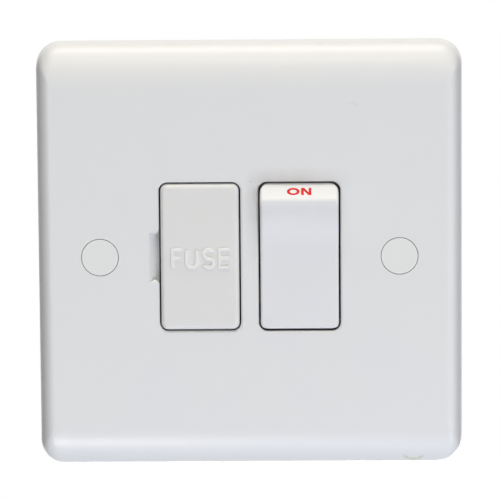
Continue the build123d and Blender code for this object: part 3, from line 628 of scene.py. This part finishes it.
def on_rolled_floor(place):
    share = (place.x - NOTCH_START) / NOTCH_WIDTH
    if not -FLOOR_MARGIN < share < 1 + FLOOR_MARGIN or abs(place.z) > NOTCH_HALF:
        return False
    rolled = 1 - math.sqrt(max(0, 1 - share * abs(share)))
    return abs(place.y - FACE - NOTCH_DEPTH * rolled) < ON_FLOOR


def on_slope(place):
    share = min(1, max(0, (place.x - NOTCH_START) / NOTCH_WIDTH))
    return Vector((place.x, FACE + NOTCH_DEPTH * share, place.z))


def floor_faces(mesh):
    for face in mesh.polygons:
        places = [mesh.vertices[index].co / MM for index in face.vertices]
        behind = face.center.y / MM > FACE + BEHIND_FACE and abs(face.normal.z) < UPRIGHT
        if behind and all(on_rolled_floor(place) for place in places):
            yield face


print("notch starts at x", round(NOTCH_START, 2), "mm")

# %% Plate with mitred corners
def same_place(point):
    return tuple(round(value / MM, 3) for value in point)


def new_object(name, data):
    obj = bpy.data.objects.new(name, data)
    bpy.context.scene.collection.objects.link(obj)
    return obj


def plate_moulding():
    mesh = nodes["front_plate"].data.copy()
    mesh.name = "front_plate_moulding"
    normals = [corner.vector.copy() for corner in mesh.corner_normals]
    floor = set()
    for face in floor_faces(mesh):
        floor.update(same_place(mesh.vertices[index].co) for index in face.vertices)
        for corner in face.loop_indices:
            normals[corner] = FLOOR_NORMAL
    drawn = [reshaped(vertex.co / MM) for vertex in mesh.vertices]
    for corner in mesh.loops:
        if drawn[corner.vertex_index]:
            normals[corner.index] = drawn[corner.vertex_index][1]
    for vertex, new in zip(mesh.vertices, drawn):
        if new:
            vertex.co = new[0] * MM
        elif same_place(vertex.co) in floor:
            vertex.co = on_slope(vertex.co / MM) * MM
    mesh.normals_split_custom_set(normals)
    plate = new_object("front_plate_moulding", mesh)
    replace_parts(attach(plate, "unit"), "front_plate")
    print("plate: edge points", sum(map(bool, drawn)), "floor points", len(floor))


plate_moulding()

# %% [markdown]
# ## The rocker's lower corners
# The gap round the rocker keeps its width at the corners, so the rocker's lower corners are
# nearly as round as the window's. Those of the solid are sharper. A copy of its mesh is cut
# where the rounder corners begin, so that the sides stay straight, and the points in the
# corners are drawn in. A cut face takes its shading normals from the face it came from.

# %% Rounder corners
SHARP_CORNER = 0.8
ROUND_CORNER = 1.45
AT_CENTRE = 0.01
FLAT_FRONT = 0.2
ROCKER_MIDDLE = WINDOW_MIDDLE / MM
CORNER_X = rocker_high.x / MM - ROCKER_MIDDLE - ROUND_CORNER
CORNER_Z = rocker_low.z / MM + ROUND_CORNER


def drawn_in(place):
    """New place of a point in a lower corner and the way out there, or nothing."""
    side = math.copysign(1, place.x - ROCKER_MIDDLE)
    out = abs(place.x - ROCKER_MIDDLE) - CORNER_X
    down = CORNER_Z - place.z
    away = math.hypot(out, down)
    if min(out, down) < 0 or away < AT_CENTRE:
        return None
    c, s = out / away, down / away
    inset = ROUND_CORNER - SHARP_CORNER
    reach = ROUND_CORNER / max(c, s)
    if min(c, s) * reach > inset:
        middle = inset * (c + s)
        reach = middle + math.sqrt(middle**2 - 2 * inset**2 + SHARP_CORNER**2)
    share = ROUND_CORNER / reach
    x = ROCKER_MIDDLE + side * (CORNER_X + share * out)
    return Vector((x, place.y, CORNER_Z - share * down)), Vector((side * c, 0, -s))


def turned_to(normal, way):
    """Normal of a wall or a rolled edge, turned to the way out. Flat fronts keep theirs."""
    level = math.hypot(normal.x, normal.z)
    if level < FLAT_FRONT:
        return normal
    return Vector((0, normal.y, 0)) + math.copysign(level, normal.dot(way)) * way


print("corners begin at x", round(CORNER_X, 2), "either side and z", round(CORNER_Z, 2))

# %% Rocker with rounder corners
CUT_MERGE = 1e-7


def cut_rocker(solid):
    """Copy of the solid's mesh, cut where the corners begin, and each face's old face."""
    build = bmesh.new()
    build.from_mesh(solid)
    source = build.faces.layers.int.new("source")
    for face in build.faces:
        face[source] = face.index
    for place, axis in (
        ((0, 0, CORNER_Z), (0, 0, 1)),
        ((ROCKER_MIDDLE - CORNER_X, 0, 0), (1, 0, 0)),
        ((ROCKER_MIDDLE + CORNER_X, 0, 0), (1, 0, 0)),
    ):
        plane = {"plane_co": Vector(place) * MM, "plane_no": axis}
        everything = build.verts[:] + build.edges[:] + build.faces[:]
        bmesh.ops.bisect_plane(build, geom=everything, dist=CUT_MERGE, **plane)
    came_from = [face[source] for face in build.faces]
    build.faces.layers.int.remove(source)
    mesh = solid.copy()
    mesh.name = "rocker_moulding"
    build.to_mesh(mesh)
    build.free()
    return mesh, came_from


def normal_within(solid, face, place):
    """Shading normal of the solid at a place on one of its faces."""
    outline = [solid.vertices[index].co / MM for index in face.vertices]
    normal = Vector()
    for share, corner in zip(poly_3d_calc(outline, place), face.loop_indices):
        normal += share * solid.corner_normals[corner].vector
    return normal


def rocker_moulding():
    solid = nodes["rocker"].data
    mesh, came_from = cut_rocker(solid)
    drawn = [drawn_in(vertex.co / MM) for vertex in mesh.vertices]
    normals = []
    for face in mesh.polygons:
        old = solid.polygons[came_from[face.index]]
        for index in face.vertices:
            normal = normal_within(solid, old, mesh.vertices[index].co / MM)
            normals.append(turned_to(normal, drawn[index][1]) if drawn[index] else normal)
    for vertex, new in zip(mesh.vertices, drawn):
        if new:
            vertex.co = new[0] * MM
    mesh.normals_split_custom_set([normal.normalized() for normal in normals])
    rocker = new_object("rocker_moulding", mesh)
    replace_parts(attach(rocker, "rocker"), "rocker")
    print("rocker: corner points", sum(map(bool, drawn)))


rocker_moulding()

# %% [markdown]
# ## Raised word on the fuse carrier
# FUSE stands proud of the carrier as rounded beads. Extruded type would have square edges and
# square ends, so each letter is drawn here as the path of a bead. The paths become tubes, a
# voxel remesh melts the tubes of the word into one closed skin, and the skin's top is pressed
# flatter than a half circle. The work is done in millimetres: voxels are too coarse in metres.

# %% Paths of the letters
WORD_CAP = 4.46
LETTER_ENDS = {"F": (0.0, 2.72), "U": (2.84, 5.80), "S": (6.20, 9.16), "E": (9.44, 12.36)}
BEAD = 0.42
MIDDLE_BAR = 0.52
F_BAR_SHORT = 0.25
E_BAR_SHORT = 0.1
S_TOP_SHARE = 0.94
S_TOP_TURN = (25, 262)
S_FOOT_TURN = (82, -155)
S_STEPS = 20


def arc(centre, radii, turn, steps=18):
    points = []
    for step in range(steps + 1):
        angle = math.radians(turn[0] + (turn[1] - turn[0]) * step / steps)
        x, z = radii[0] * math.cos(angle), radii[1] * math.sin(angle)
        points.append((centre[0] + x, centre[1] + z))
    return points


def s_path(left, right, foot, top):
    middle, half, rise = (left + right) / 2, (right - left) / 2, (top - foot) / 4
    upper = arc((middle, top - rise), (half * S_TOP_SHARE, rise), S_TOP_TURN, S_STEPS)
    return upper + arc((middle, foot + rise), (half, rise), S_FOOT_TURN, S_STEPS)


def letter_paths():
    """Middle lines of F, U, S and E, from the word's left end and its foot, in millimetres."""
    foot, top, middle = BEAD, WORD_CAP - BEAD, MIDDLE_BAR * WORD_CAP
    ends = {letter: (left + BEAD, right - BEAD) for letter, (left, right) in LETTER_ENDS.items()}
    left, right = ends["F"]
    paths = [[(right, top), (left, top), (left, foot)]]
    paths.append([(left, middle), (right - F_BAR_SHORT, middle)])
    left, right = ends["U"]
    half = (right - left) / 2
    bowl = arc((left + half, foot + half), (half, half), (180, 360))
    paths.append([(left, top), *bowl, (right, top)])
    paths.append(s_path(*ends["S"], foot, top))
    left, right = ends["E"]
    paths.append([(right, top), (left, top), (left, foot), (right, foot)])
    paths.append([(left, middle), (right - E_BAR_SHORT, middle)])
    return paths


print("strokes in the word:", len(letter_paths()))

# %% Beads along the paths
VOXEL = 0.075


def evaluated_mesh(obj):
    """The mesh that an object's bevel or modifiers give."""
    bpy.context.view_layer.update()
    view = bpy.context.evaluated_depsgraph_get()
    return bpy.data.meshes.new_from_object(obj.evaluated_get(view))


def bead_word(name, paths):
    """Tubes along the paths, melted into one closed skin. Units are millimetres."""
    curve = bpy.data.curves.new(name, "CURVE")
    curve.dimensions = "3D"
    curve.bevel_depth = BEAD
    curve.bevel_resolution = 4
    curve.use_fill_caps = True
    for path in paths:
        spline = curve.splines.new("POLY")
        spline.points.add(len(path) - 1)
        for point, (x, z) in zip(spline.points, path):
            point.co = (x, 0, z, 1)
    tubes = new_object(name, curve)
    mesh = evaluated_mesh(tubes)
    bpy.data.objects.remove(tubes)
    word = new_object(name, mesh)
    melt = word.modifiers.new("melt", "REMESH")
    melt.mode = "VOXEL"
    melt.voxel_size = VOXEL
    soften = word.modifiers.new("soften", "SMOOTH")
    soften.factor = 0.5
    soften.iterations = 3
    melted = evaluated_mesh(word)
    word.modifiers.clear()
    word.data = melted
    return word


word = bead_word("word_on_carrier", letter_paths())
print("word on the carrier:", len(word.data.polygons), "faces")

# %% Press the word and place it
WORD_SHIFT = (0.2, -0.27)
BEAD_RISE = 0.38
BEAD_FULLNESS = 1.3


def place_word(word):
    low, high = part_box("fuse_carrier")
    middle = (low + high) / 2
    width = max(right for left, right in LETTER_ENDS.values())
    left = middle.x + (WORD_SHIFT[0] - width / 2) * MM
    foot = middle.z + (WORD_SHIFT[1] - WORD_CAP / 2) * MM
    for point in word.data.vertices:
        point.co.y = BEAD_RISE * math.tanh(BEAD_FULLNESS * point.co.y / BEAD_RISE)
    word.data.transform(Matrix.Translation((left, low.y, foot)) @ Matrix.Scale(MM, 4))
    for face in word.data.polygons:
        face.use_smooth = True
    # The word takes the lighter white, a painted highlight on the beads.
    word.data.materials.append(finishes["word_highlight_white"])
    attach(word, "fuse_carrier")
    print("the word's left end and foot", in_mm((left, foot)))


place_word(word)

# %% [markdown]
# ## Printed word on the rocker
# ON is red ink, pad printed on the facet that shows while the switch is on. A texture would
# need an image, so the letters are thin closed plates of ink laid on the facet. Its plane is
# read from the rocker's own mesh: the large flat face near the top that looks up and forward.

# %% Find the facet
LOOKS_FORWARD = -0.3
LOOKS_UP = 0.25
LOOKS_ASIDE = 0.02


def rocker_facet():
    """Middle and normal of the flat area at the top of the rocker."""
    areas = {}
    for face in nodes["rocker"].data.polygons:
        n = face.normal
        if n.y < LOOKS_FORWARD and n.z > LOOKS_UP and abs(n.x) < LOOKS_ASIDE:
            key = (round(n.y, 2), round(n.z, 2))
            total, place, normal = areas.get(key, (0.0, Vector(), Vector()))
            place = place + face.area * face.center
            areas[key] = (total + face.area, place, normal + face.area * n)
    total, place, normal = max(areas.values(), key=lambda entry: entry[0])
    return place / total, normal.normalized()


facet_middle, facet_normal = rocker_facet()
print("facet at", in_mm(facet_middle), "looks", [round(value, 3) for value in facet_normal])

# %% Ink letters
INK_HEIGHT = 1.84
INK_THICKNESS = 0.03
O_HALF = 1.27
O_STROKE = (0.56, 0.42)
O_STEPS = 72
N_LEFT = 2.85
N_RIGHT = 4.9
N_STEM = 0.52
N_SLANT = 0.6
N_JOIN = 0.36


def ink_plate(build, loops):
    """Closed plate between a loop and, where there is a second one, the hole in it."""
    faces = []
    layers = []
    for depth in (0, -INK_THICKNESS):
        layers.append([[build.verts.new((x, depth, z)) for x, z in loop] for loop in loops])
    for low, high in zip(*layers):
        for k in range(len(low)):
            after = (k + 1) % len(low)
            faces.append(build.faces.new((low[k], low[after], high[after], high[k])))
    for layer in layers:
        if len(loops) == 1:
            faces.append(build.faces.new(layer[0]))
        else:
            outer, inner = layer
            for k in range(len(outer)):
                after = (k + 1) % len(outer)
                faces.append(build.faces.new((outer[k], outer[after], inner[after], inner[k])))
    bmesh.ops.recalc_face_normals(build, faces=faces)


def letter_o():
    """Outer and inner loop of the O."""
    half = INK_HEIGHT / 2
    outer, inner = [], []
    for k in range(O_STEPS):
        c, s = math.cos(2 * math.pi * k / O_STEPS), math.sin(2 * math.pi * k / O_STEPS)
        outer.append((O_HALF + O_HALF * c, half + half * s))
        inner.append((O_HALF + (O_HALF - O_STROKE[0]) * c, half + (half - O_STROKE[1]) * s))
    return [outer, inner]


def letter_n():
    """The N's outline: half of it, and the same half turned round the letter's middle."""
    join = INK_HEIGHT * N_JOIN
    half = [(N_LEFT, 0), (N_LEFT, INK_HEIGHT), (N_LEFT + N_SLANT, INK_HEIGHT)]
    half += [(N_RIGHT - N_STEM, join), (N_RIGHT - N_STEM, INK_HEIGHT)]
    return [half + [(N_LEFT + N_RIGHT - x, INK_HEIGHT - z) for x, z in half]]


print("points in the N:", len(letter_n()[0]))

# %% Print the word
INK_TONES = (srgb(210, 8, 5), srgb(224, 12, 8))
INK_DROP = 0.25


def red_ink():
    finish = new_finish("red_ink")
    cloud = noise(finish, scale=900, detail=3.0)
    colour = finish.blend(cloud, *INK_TONES)
    normal = bump(finish, noise(finish, scale=4200), strength=0.1, distance=0.01 * MM)
    return surface(finish, colour, 0.5 + 0.12 * cloud, normal, Specular_IOR_Level=0.2)


def mesh_from(build, name):
    """Mesh of what was built, which is then let go."""
    mesh = bpy.data.meshes.new(name)
    build.to_mesh(mesh)
    build.free()
    return mesh


def printed_word():
    build = bmesh.new()
    ink_plate(build, letter_o())
    ink_plate(build, letter_n())
    mesh = mesh_from(build, "word_on_rocker")
    across = Vector((1, 0, 0))
    up = facet_normal.cross(across).normalized()
    turn = Matrix((across, -facet_normal, up)).transposed().to_4x4()
    start = Matrix.Translation((-N_RIGHT / 2 * MM, 0, (-INK_HEIGHT / 2 - INK_DROP) * MM))
    mesh.transform(Matrix.Translation(facet_middle) @ turn @ start @ Matrix.Scale(MM, 4))
    ink = new_object("word_on_rocker", mesh)
    ink.data.materials.append(red_ink())
    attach(ink, "rocker")
    return ink


ink = printed_word()
print("word on the rocker:", len(ink.data.polygons), "faces")

# %% [markdown]
# ## Threads on the fixing screws
# In the solid model the fixing screws are plain rods with a countersunk head. Behind the plate
# their threads are in full view, so each is turned again here: rings of points round the axis,
# whose radius follows the head, the neck and then a helical groove. A block cuts the slot.

# %% Profile of the screw
SCREW_MAJOR = 1.75
SCREW_MINOR = 1.42
SCREW_PITCH = 0.6
SCREW_NECK = 1.55
THREAD_START = -0.35
RIM_ROUND = 0.06
RIM_DEPTH = 0.05
NECK_END = 0.02
RINGS_A_TURN = 7
ROUND = 32
GROOVE_STEEP = 2.6
CREST = 0.15
TIP_LENGTH = 0.8
TIP_TAPER = 0.55


def groove(turns):
    """0 at the crest of a thread, 1 at its root."""
    share = turns % 1.0
    return min(1.0, max(0.0, GROOVE_STEEP * (0.5 - abs(share - 0.5)) - CREST))


def screw_rows(start, end, head):
    """Depth of each ring from the head's rim to the tip, and its radius unless threaded."""
    rows = [(start, head - RIM_ROUND), (start + RIM_DEPTH, head)]
    rows += [(start + head - SCREW_NECK, SCREW_NECK), (THREAD_START - NECK_END, SCREW_NECK)]
    length = end - THREAD_START
    steps = int(length / (SCREW_PITCH / RINGS_A_TURN))
    return rows + [(THREAD_START + length * step / steps, None) for step in range(steps + 1)]


def thread_radius(depth, turn, end):
    wave = groove((depth - THREAD_START) / SCREW_PITCH - turn)
    radius = SCREW_MAJOR - (SCREW_MAJOR - SCREW_MINOR) * wave
    return min(radius, SCREW_MAJOR - TIP_TAPER * max(0, 1 - (end - depth) / TIP_LENGTH))


def screw_rings(start, end, head):
    for depth, plain in screw_rows(start, end, head):
        ring = []
        for k in range(ROUND):
            radius = plain or thread_radius(depth, k / ROUND, end)
            angle = 2 * math.pi * k / ROUND
            ring.append((radius * math.cos(angle), depth, radius * math.sin(angle)))
        yield ring


print("groove", round(SCREW_MAJOR - SCREW_MINOR, 2), "mm deep, one every", SCREW_PITCH, "mm")

# %% Turn the screws
SLOT_DEPTH = 0.9
SLOT_WIDTH = 0.9


def tube_mesh(name, rings):
    """Closed skin over rings of points, with a flat face at each end."""
    build = bmesh.new()
    rows = [[build.verts.new(point) for point in ring] for ring in rings]
    for row, following in zip(rows, rows[1:]):
        for k in range(len(row)):
            after = (k + 1) % len(row)
            build.faces.new((row[k], row[after], following[after], following[k]))
    for end in (rows[0], rows[-1]):
        build.faces.new(end)
    bmesh.ops.recalc_face_normals(build, faces=build.faces)
    return mesh_from(build, name)


def driver_slot(obj, x, level, head):
    """Cuts the slot with a block that runs right across the head."""
    build = bmesh.new()
    bmesh.ops.create_cube(build, size=1.0)
    block = mesh_from(build, "slot")
    size = Matrix.Diagonal((3 * head * MM, 2 * SLOT_DEPTH * MM, SLOT_WIDTH * MM, 1))
    block.transform(Matrix.Translation((x, level, 0)) @ size)
    cutter = new_object("slot", block)
    cut = obj.modifiers.new("slot", "BOOLEAN")
    cut.object = cutter
    cut.operation = "DIFFERENCE"
    cut.solver = "EXACT"
    done = evaluated_mesh(obj)
    obj.modifiers.clear()
    obj.data = done
    bpy.data.objects.remove(cutter)


def turned_screw(node):
    low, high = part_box(node)
    x, z = (low.x + high.x) / 2, (low.z + high.z) / 2
    head = (high.x - low.x) / 2 / MM
    mesh = tube_mesh(node + "_threaded", screw_rings(low.y / MM, high.y / MM, head))
    mesh.transform(Matrix.Translation((x, 0, z)) @ Matrix.Scale(MM, 4))
    screw = new_object(node + "_threaded", mesh)
    driver_slot(screw, x, low.y, head)
    screw.data.materials.clear()
    screw.data.materials.append(finishes["zinc_screw"])
    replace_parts(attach(screw, "unit"), node)
    print(screw.name, len(screw.data.polygons), "faces")


for side in ("left", "right"):
    turned_screw("fixing_screw_" + side)

# %% [markdown]
# ## Wound springs
# Inside the rocker, two coil springs press the plungers against the contacts. The solid model's
# springs are drawn in straight pieces and stay stiff. Each is wound again here from round
# wire with closed ends. It doesn't shorten as its plunger goes in, and a stiff spring would
# pass through the plunger at that end of the travel.

# %% Wire of a spring
WIRE = 0.19
COIL_RADIUS = 1.1
COILS = 6
CLOSED_PITCH = 0.42
WIRE_SIDES = 10
COIL_STEPS = 20


def coil_line(length):
    """Middle line of the wire round the Z axis, with a closed coil at each end."""
    open_pitch = (length - 2 * WIRE - 2 * CLOSED_PITCH) / (COILS - 2)
    points = []
    for step in range(COILS * COIL_STEPS + 1):
        turns = step / COIL_STEPS
        closed = min(turns, 1) + max(0, turns - COILS + 1)
        height = WIRE + CLOSED_PITCH * closed + open_pitch * (turns - closed)
        angle = 2 * math.pi * turns
        out = COIL_RADIUS * Vector((math.cos(angle), math.sin(angle), 0))
        points.append(out + Vector((0, 0, height)))
    return points


def wire_rings(line):
    for index, point in enumerate(line):
        ahead = line[min(index + 1, len(line) - 1)] - line[max(index - 1, 0)]
        out = Vector((point.x, point.y, 0)).normalized()
        up = ahead.cross(out).normalized()
        angles = [2 * math.pi * k / WIRE_SIDES for k in range(WIRE_SIDES)]
        yield [point + WIRE * (math.cos(a) * out + math.sin(a) * up) for a in angles]


print("points along a wire:", len(coil_line(COILS)))

# %% Wind the springs
joints = {joint["name"]: joint for joint in frame["joints"]}


def wound_spring(pole):
    node, slide = pole + "_spring", joints[pole + "_plunger_slide"]
    along = -Vector(slide["axis"]).normalized()
    low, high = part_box(pole + "_plunger")
    pivot = Vector(joints["rocker_tilt"]["pos_m"])
    pivot.x = (low.x + high.x) / 2
    reach = [(vertex.co - pivot).dot(along) for vertex in nodes[node].data.vertices]
    start, length = pivot + min(reach) * along, max(reach) - min(reach)
    mesh = tube_mesh(node + "_wound", wire_rings(coil_line(length / MM)))
    mesh.polygons.foreach_set("use_smooth", [True] * len(mesh.polygons))
    turn = along.to_track_quat("Z", "Y").to_matrix().to_4x4()
    mesh.transform(Matrix.Translation(start) @ turn @ Matrix.Scale(MM, 4))
    spring = new_object(node + "_wound", mesh)
    mesh.materials.append(finishes["spring_steel"])
    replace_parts(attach(spring, "rocker"), node)
    1 - slide["range_m"][1] / length
    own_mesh(spring)
    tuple(start)
    print(spring.name, len(mesh.polygons), "faces, length", round(length / MM, 2))


for pole in ("live", "neutral"):
    wound_spring(pole)

# %% [markdown]
# ## Floor
# The unit hangs in the air as if on its wall box, and a pale floor lies well below it. The floor
# takes light and shadow like any surface, and looks white to the camera because the camera's
# own rays see it mixed with a white glow.

# %% Pale floor
FLOOR_DROP = 0.62
FLOOR_HALF = 0.9
FLOOR_GLOW = 0.96
FLOOR_TONES = (srgb(226, 227, 229), srgb(232, 233, 234))
WHITE = (1, 1, 1, 1)


def glow_to_camera(finish, share):
    """Factor that is the given share for the rays of the camera, of gloss and of glass."""
    seen = finish.node("ShaderNodeLightPath", output="Is Camera Ray")
    gloss = finish.node("ShaderNodeLightPath", output="Is Glossy Ray")
    through = finish.node("ShaderNodeLightPath", output="Is Transmission Ray")
    return share * seen.at_least(gloss).at_least(through)


def pale_floor():
    finish = new_finish("pale_floor")
    cloud = finish.blend(noise(finish, scale=6), *FLOOR_TONES)
    dull = finish.node("ShaderNodeBsdfDiffuse", None, {"Color": cloud})
    glow = finish.node("ShaderNodeEmission", None, {"Color": WHITE, "Strength": 1.0})
    mix = {0: glow_to_camera(finish, FLOOR_GLOW), 1: dull, 2: glow}
    both = finish.node("ShaderNodeMixShader", None, mix)
    finish.node("ShaderNodeOutputMaterial", None, {"Surface": both})
    build = bmesh.new()
    bmesh.ops.create_grid(build, x_segments=8, y_segments=8, size=FLOOR_HALF)
    mesh = mesh_from(build, "floor")
    mesh.materials.append(finish.owner)
    floor = new_object("floor", mesh)
    floor.location.z = cad_box[0].z - FLOOR_DROP
    floor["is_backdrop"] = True
    return floor


floor = pale_floor()
print("floor at", round(floor.location.z, 3))

# %% [markdown]
# ## Light
# The plate's top edge is bright and warm, its lower edge is cool with a long soft highlight,
# and its left flank is much darker than its right. One big soft lamp could not do all that.
# So a wide lamp hangs above and a warm one above and in front. Cooler ones lie below and at the
# lower right, and a small one at the lower left draws the long highlight. The lamp at the right
# is wide, and the one at the left stands well in front, so that it lights the face more than
# the flank. One over the top lights the top flank, and one behind lights the back.

# %% World
AMBIENT = 0.06
AMBIENT_TONE = srgb(236, 238, 242)


def soft_world():
    world = bpy.data.worlds.new("soft_world")
    bpy.context.scene.world = world
    finish = Finish(world)
    dim = finish.node("ShaderNodeBackground", None, {"Color": AMBIENT_TONE, "Strength": AMBIENT})
    white = finish.node("ShaderNodeBackground", None, {"Color": WHITE, "Strength": 1.0})
    mix = {0: glow_to_camera(finish, 1.0), 1: dim, 2: white}
    both = finish.node("ShaderNodeMixShader", None, mix)
    finish.node("ShaderNodeOutputWorld", None, {"Surface": both})


soft_world()
print("world gives", AMBIENT, "of white")

# %% Lamps
LAMPS = {
    "above": ((0.0, -0.13, 0.73), (0.50, 0.40), 4.25, (255, 251, 242)),
    "above_front": ((0.0, -0.55, 0.55), (0.30, 0.25), 1.18, (255, 246, 226)),
    "below": ((0.03, -0.30, -0.40), (0.30, 0.18), 0.42, (226, 237, 255)),
    "below_left": ((-0.095, -0.505, -0.44), (0.075, 0.05), 0.95, (255, 250, 250)),
    "right": ((0.66, -0.36, 0.0), (0.60, 0.60), 1.90, (251, 251, 253)),
    "right_low": ((0.34, -0.50, -0.42), (0.12, 0.12), 1.10, (228, 238, 255)),
    "left": ((-0.42, -0.66, 0.0), (0.25, 0.30), 1.04, (251, 252, 254)),
    "over_top": ((0.1, 0.25, 0.80), (0.50, 0.40), 0.7, (255, 250, 240)),
    "behind": ((0.10, 0.85, -0.38), (0.50, 0.30), 3.0, (255, 250, 244)),
}


def soft_lamp(name, place, size, watts, tone):
    data = bpy.data.lights.new(name, "AREA")
    data.shape = "RECTANGLE"
    data.size, data.size_y = size
    data.energy = watts
    data.color = srgb(*tone)[:3]
    lamp = new_object(name, data)
    lamp.location = place
    lamp.visible_camera = False
    lamp.rotation_euler = (-Vector(place)).to_track_quat("-Z", "Y").to_euler()


for name, recipe in LAMPS.items():
    soft_lamp(name, *recipe)
print("lamps", list(LAMPS))

# %% [markdown]
# ## Flags
# White all round would edge the plate with bright rims, and its flanks are in fact darker than
# its face. A photographer stands a dark card, a flag, at each side. The flags here do the same for
# light and gloss, and the camera doesn't see them.

# %% Dark flags
FLAG_AWAY = 0.95
FLAG_BACK = 0.35
FLAG_SIZE = (1.5, 1.2)
FLAG_TONES = (srgb(40, 40, 41), srgb(46, 46, 47))


def dark_flag(name, side):
    finish = new_finish(name)
    surface(finish, finish.blend(noise(finish, scale=4), *FLAG_TONES), roughness=0.9)
    build = bmesh.new()
    bmesh.ops.create_grid(build, x_segments=4, y_segments=4, size=0.5)
    mesh = mesh_from(build, name)
    mesh.transform(Matrix.Diagonal((*FLAG_SIZE, 1, 1)))
    for axis in "XZ":
        mesh.transform(Matrix.Rotation(math.radians(90), 4, axis))
    mesh.materials.append(finish.owner)
    flag = new_object(name, mesh)
    flag.location = (side * FLAG_AWAY, FLAG_BACK, 0.0)
    flag.visible_camera = False
    flag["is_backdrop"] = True


for name, side in (("flag_left", -1), ("flag_right", 1)):
    dark_flag(name, side)
print("flags at", FLAG_AWAY, "m to each side")

# %% [markdown]
# ## Camera
# The picture is taken from almost straight ahead with a long lens, a little above the middle
# and a hair to the right, and it leans by less than half a degree. Distance, direction and
# lens follow from where the plate's edges, the windows and the caps lie in the picture.

# %% Camera
AIM = Vector((0.066, -9.5, 1.37)) * MM
DISTANCE = 0.8
ELEVATION = math.radians(8.1)
AZIMUTH = math.radians(-0.82)
LEAN = math.radians(-0.455)
VIEW_WIDTH = 100.58 * MM


def front_camera():
    data = bpy.data.cameras.new("front_camera")
    data.sensor_width = 36.0
    data.lens = data.sensor_width * DISTANCE / VIEW_WIDTH
    data.clip_start, data.clip_end = 0.05, 20.0
    camera = new_object("front_camera", data)
    level = math.cos(ELEVATION)
    x, y, z = math.sin(AZIMUTH) * level, math.cos(AZIMUTH) * level, -math.sin(ELEVATION)
    ahead = Vector((x, y, z))
    turn = ahead.to_track_quat("-Z", "Y").to_matrix().to_4x4()
    lean = Matrix.Rotation(LEAN, 4, "Z")
    camera.matrix_world = Matrix.Translation(AIM - DISTANCE * ahead) @ turn @ lean
    bpy.context.scene.camera = camera
    return camera


camera = front_camera()
bpy.context.scene.view_settings.view_transform = "Standard"
print("lens", round(camera.data.lens, 1))

# %% [markdown]
# ## Size
# Both boxes are printed, the solid model's near the start and the dressed model's here,
# so that they can be compared. The dressed model must stay inside the solid model's box.

# %% Boxes and finish
visual_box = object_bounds()
print("visual box", in_mm(visual_box[1] - visual_box[0]))
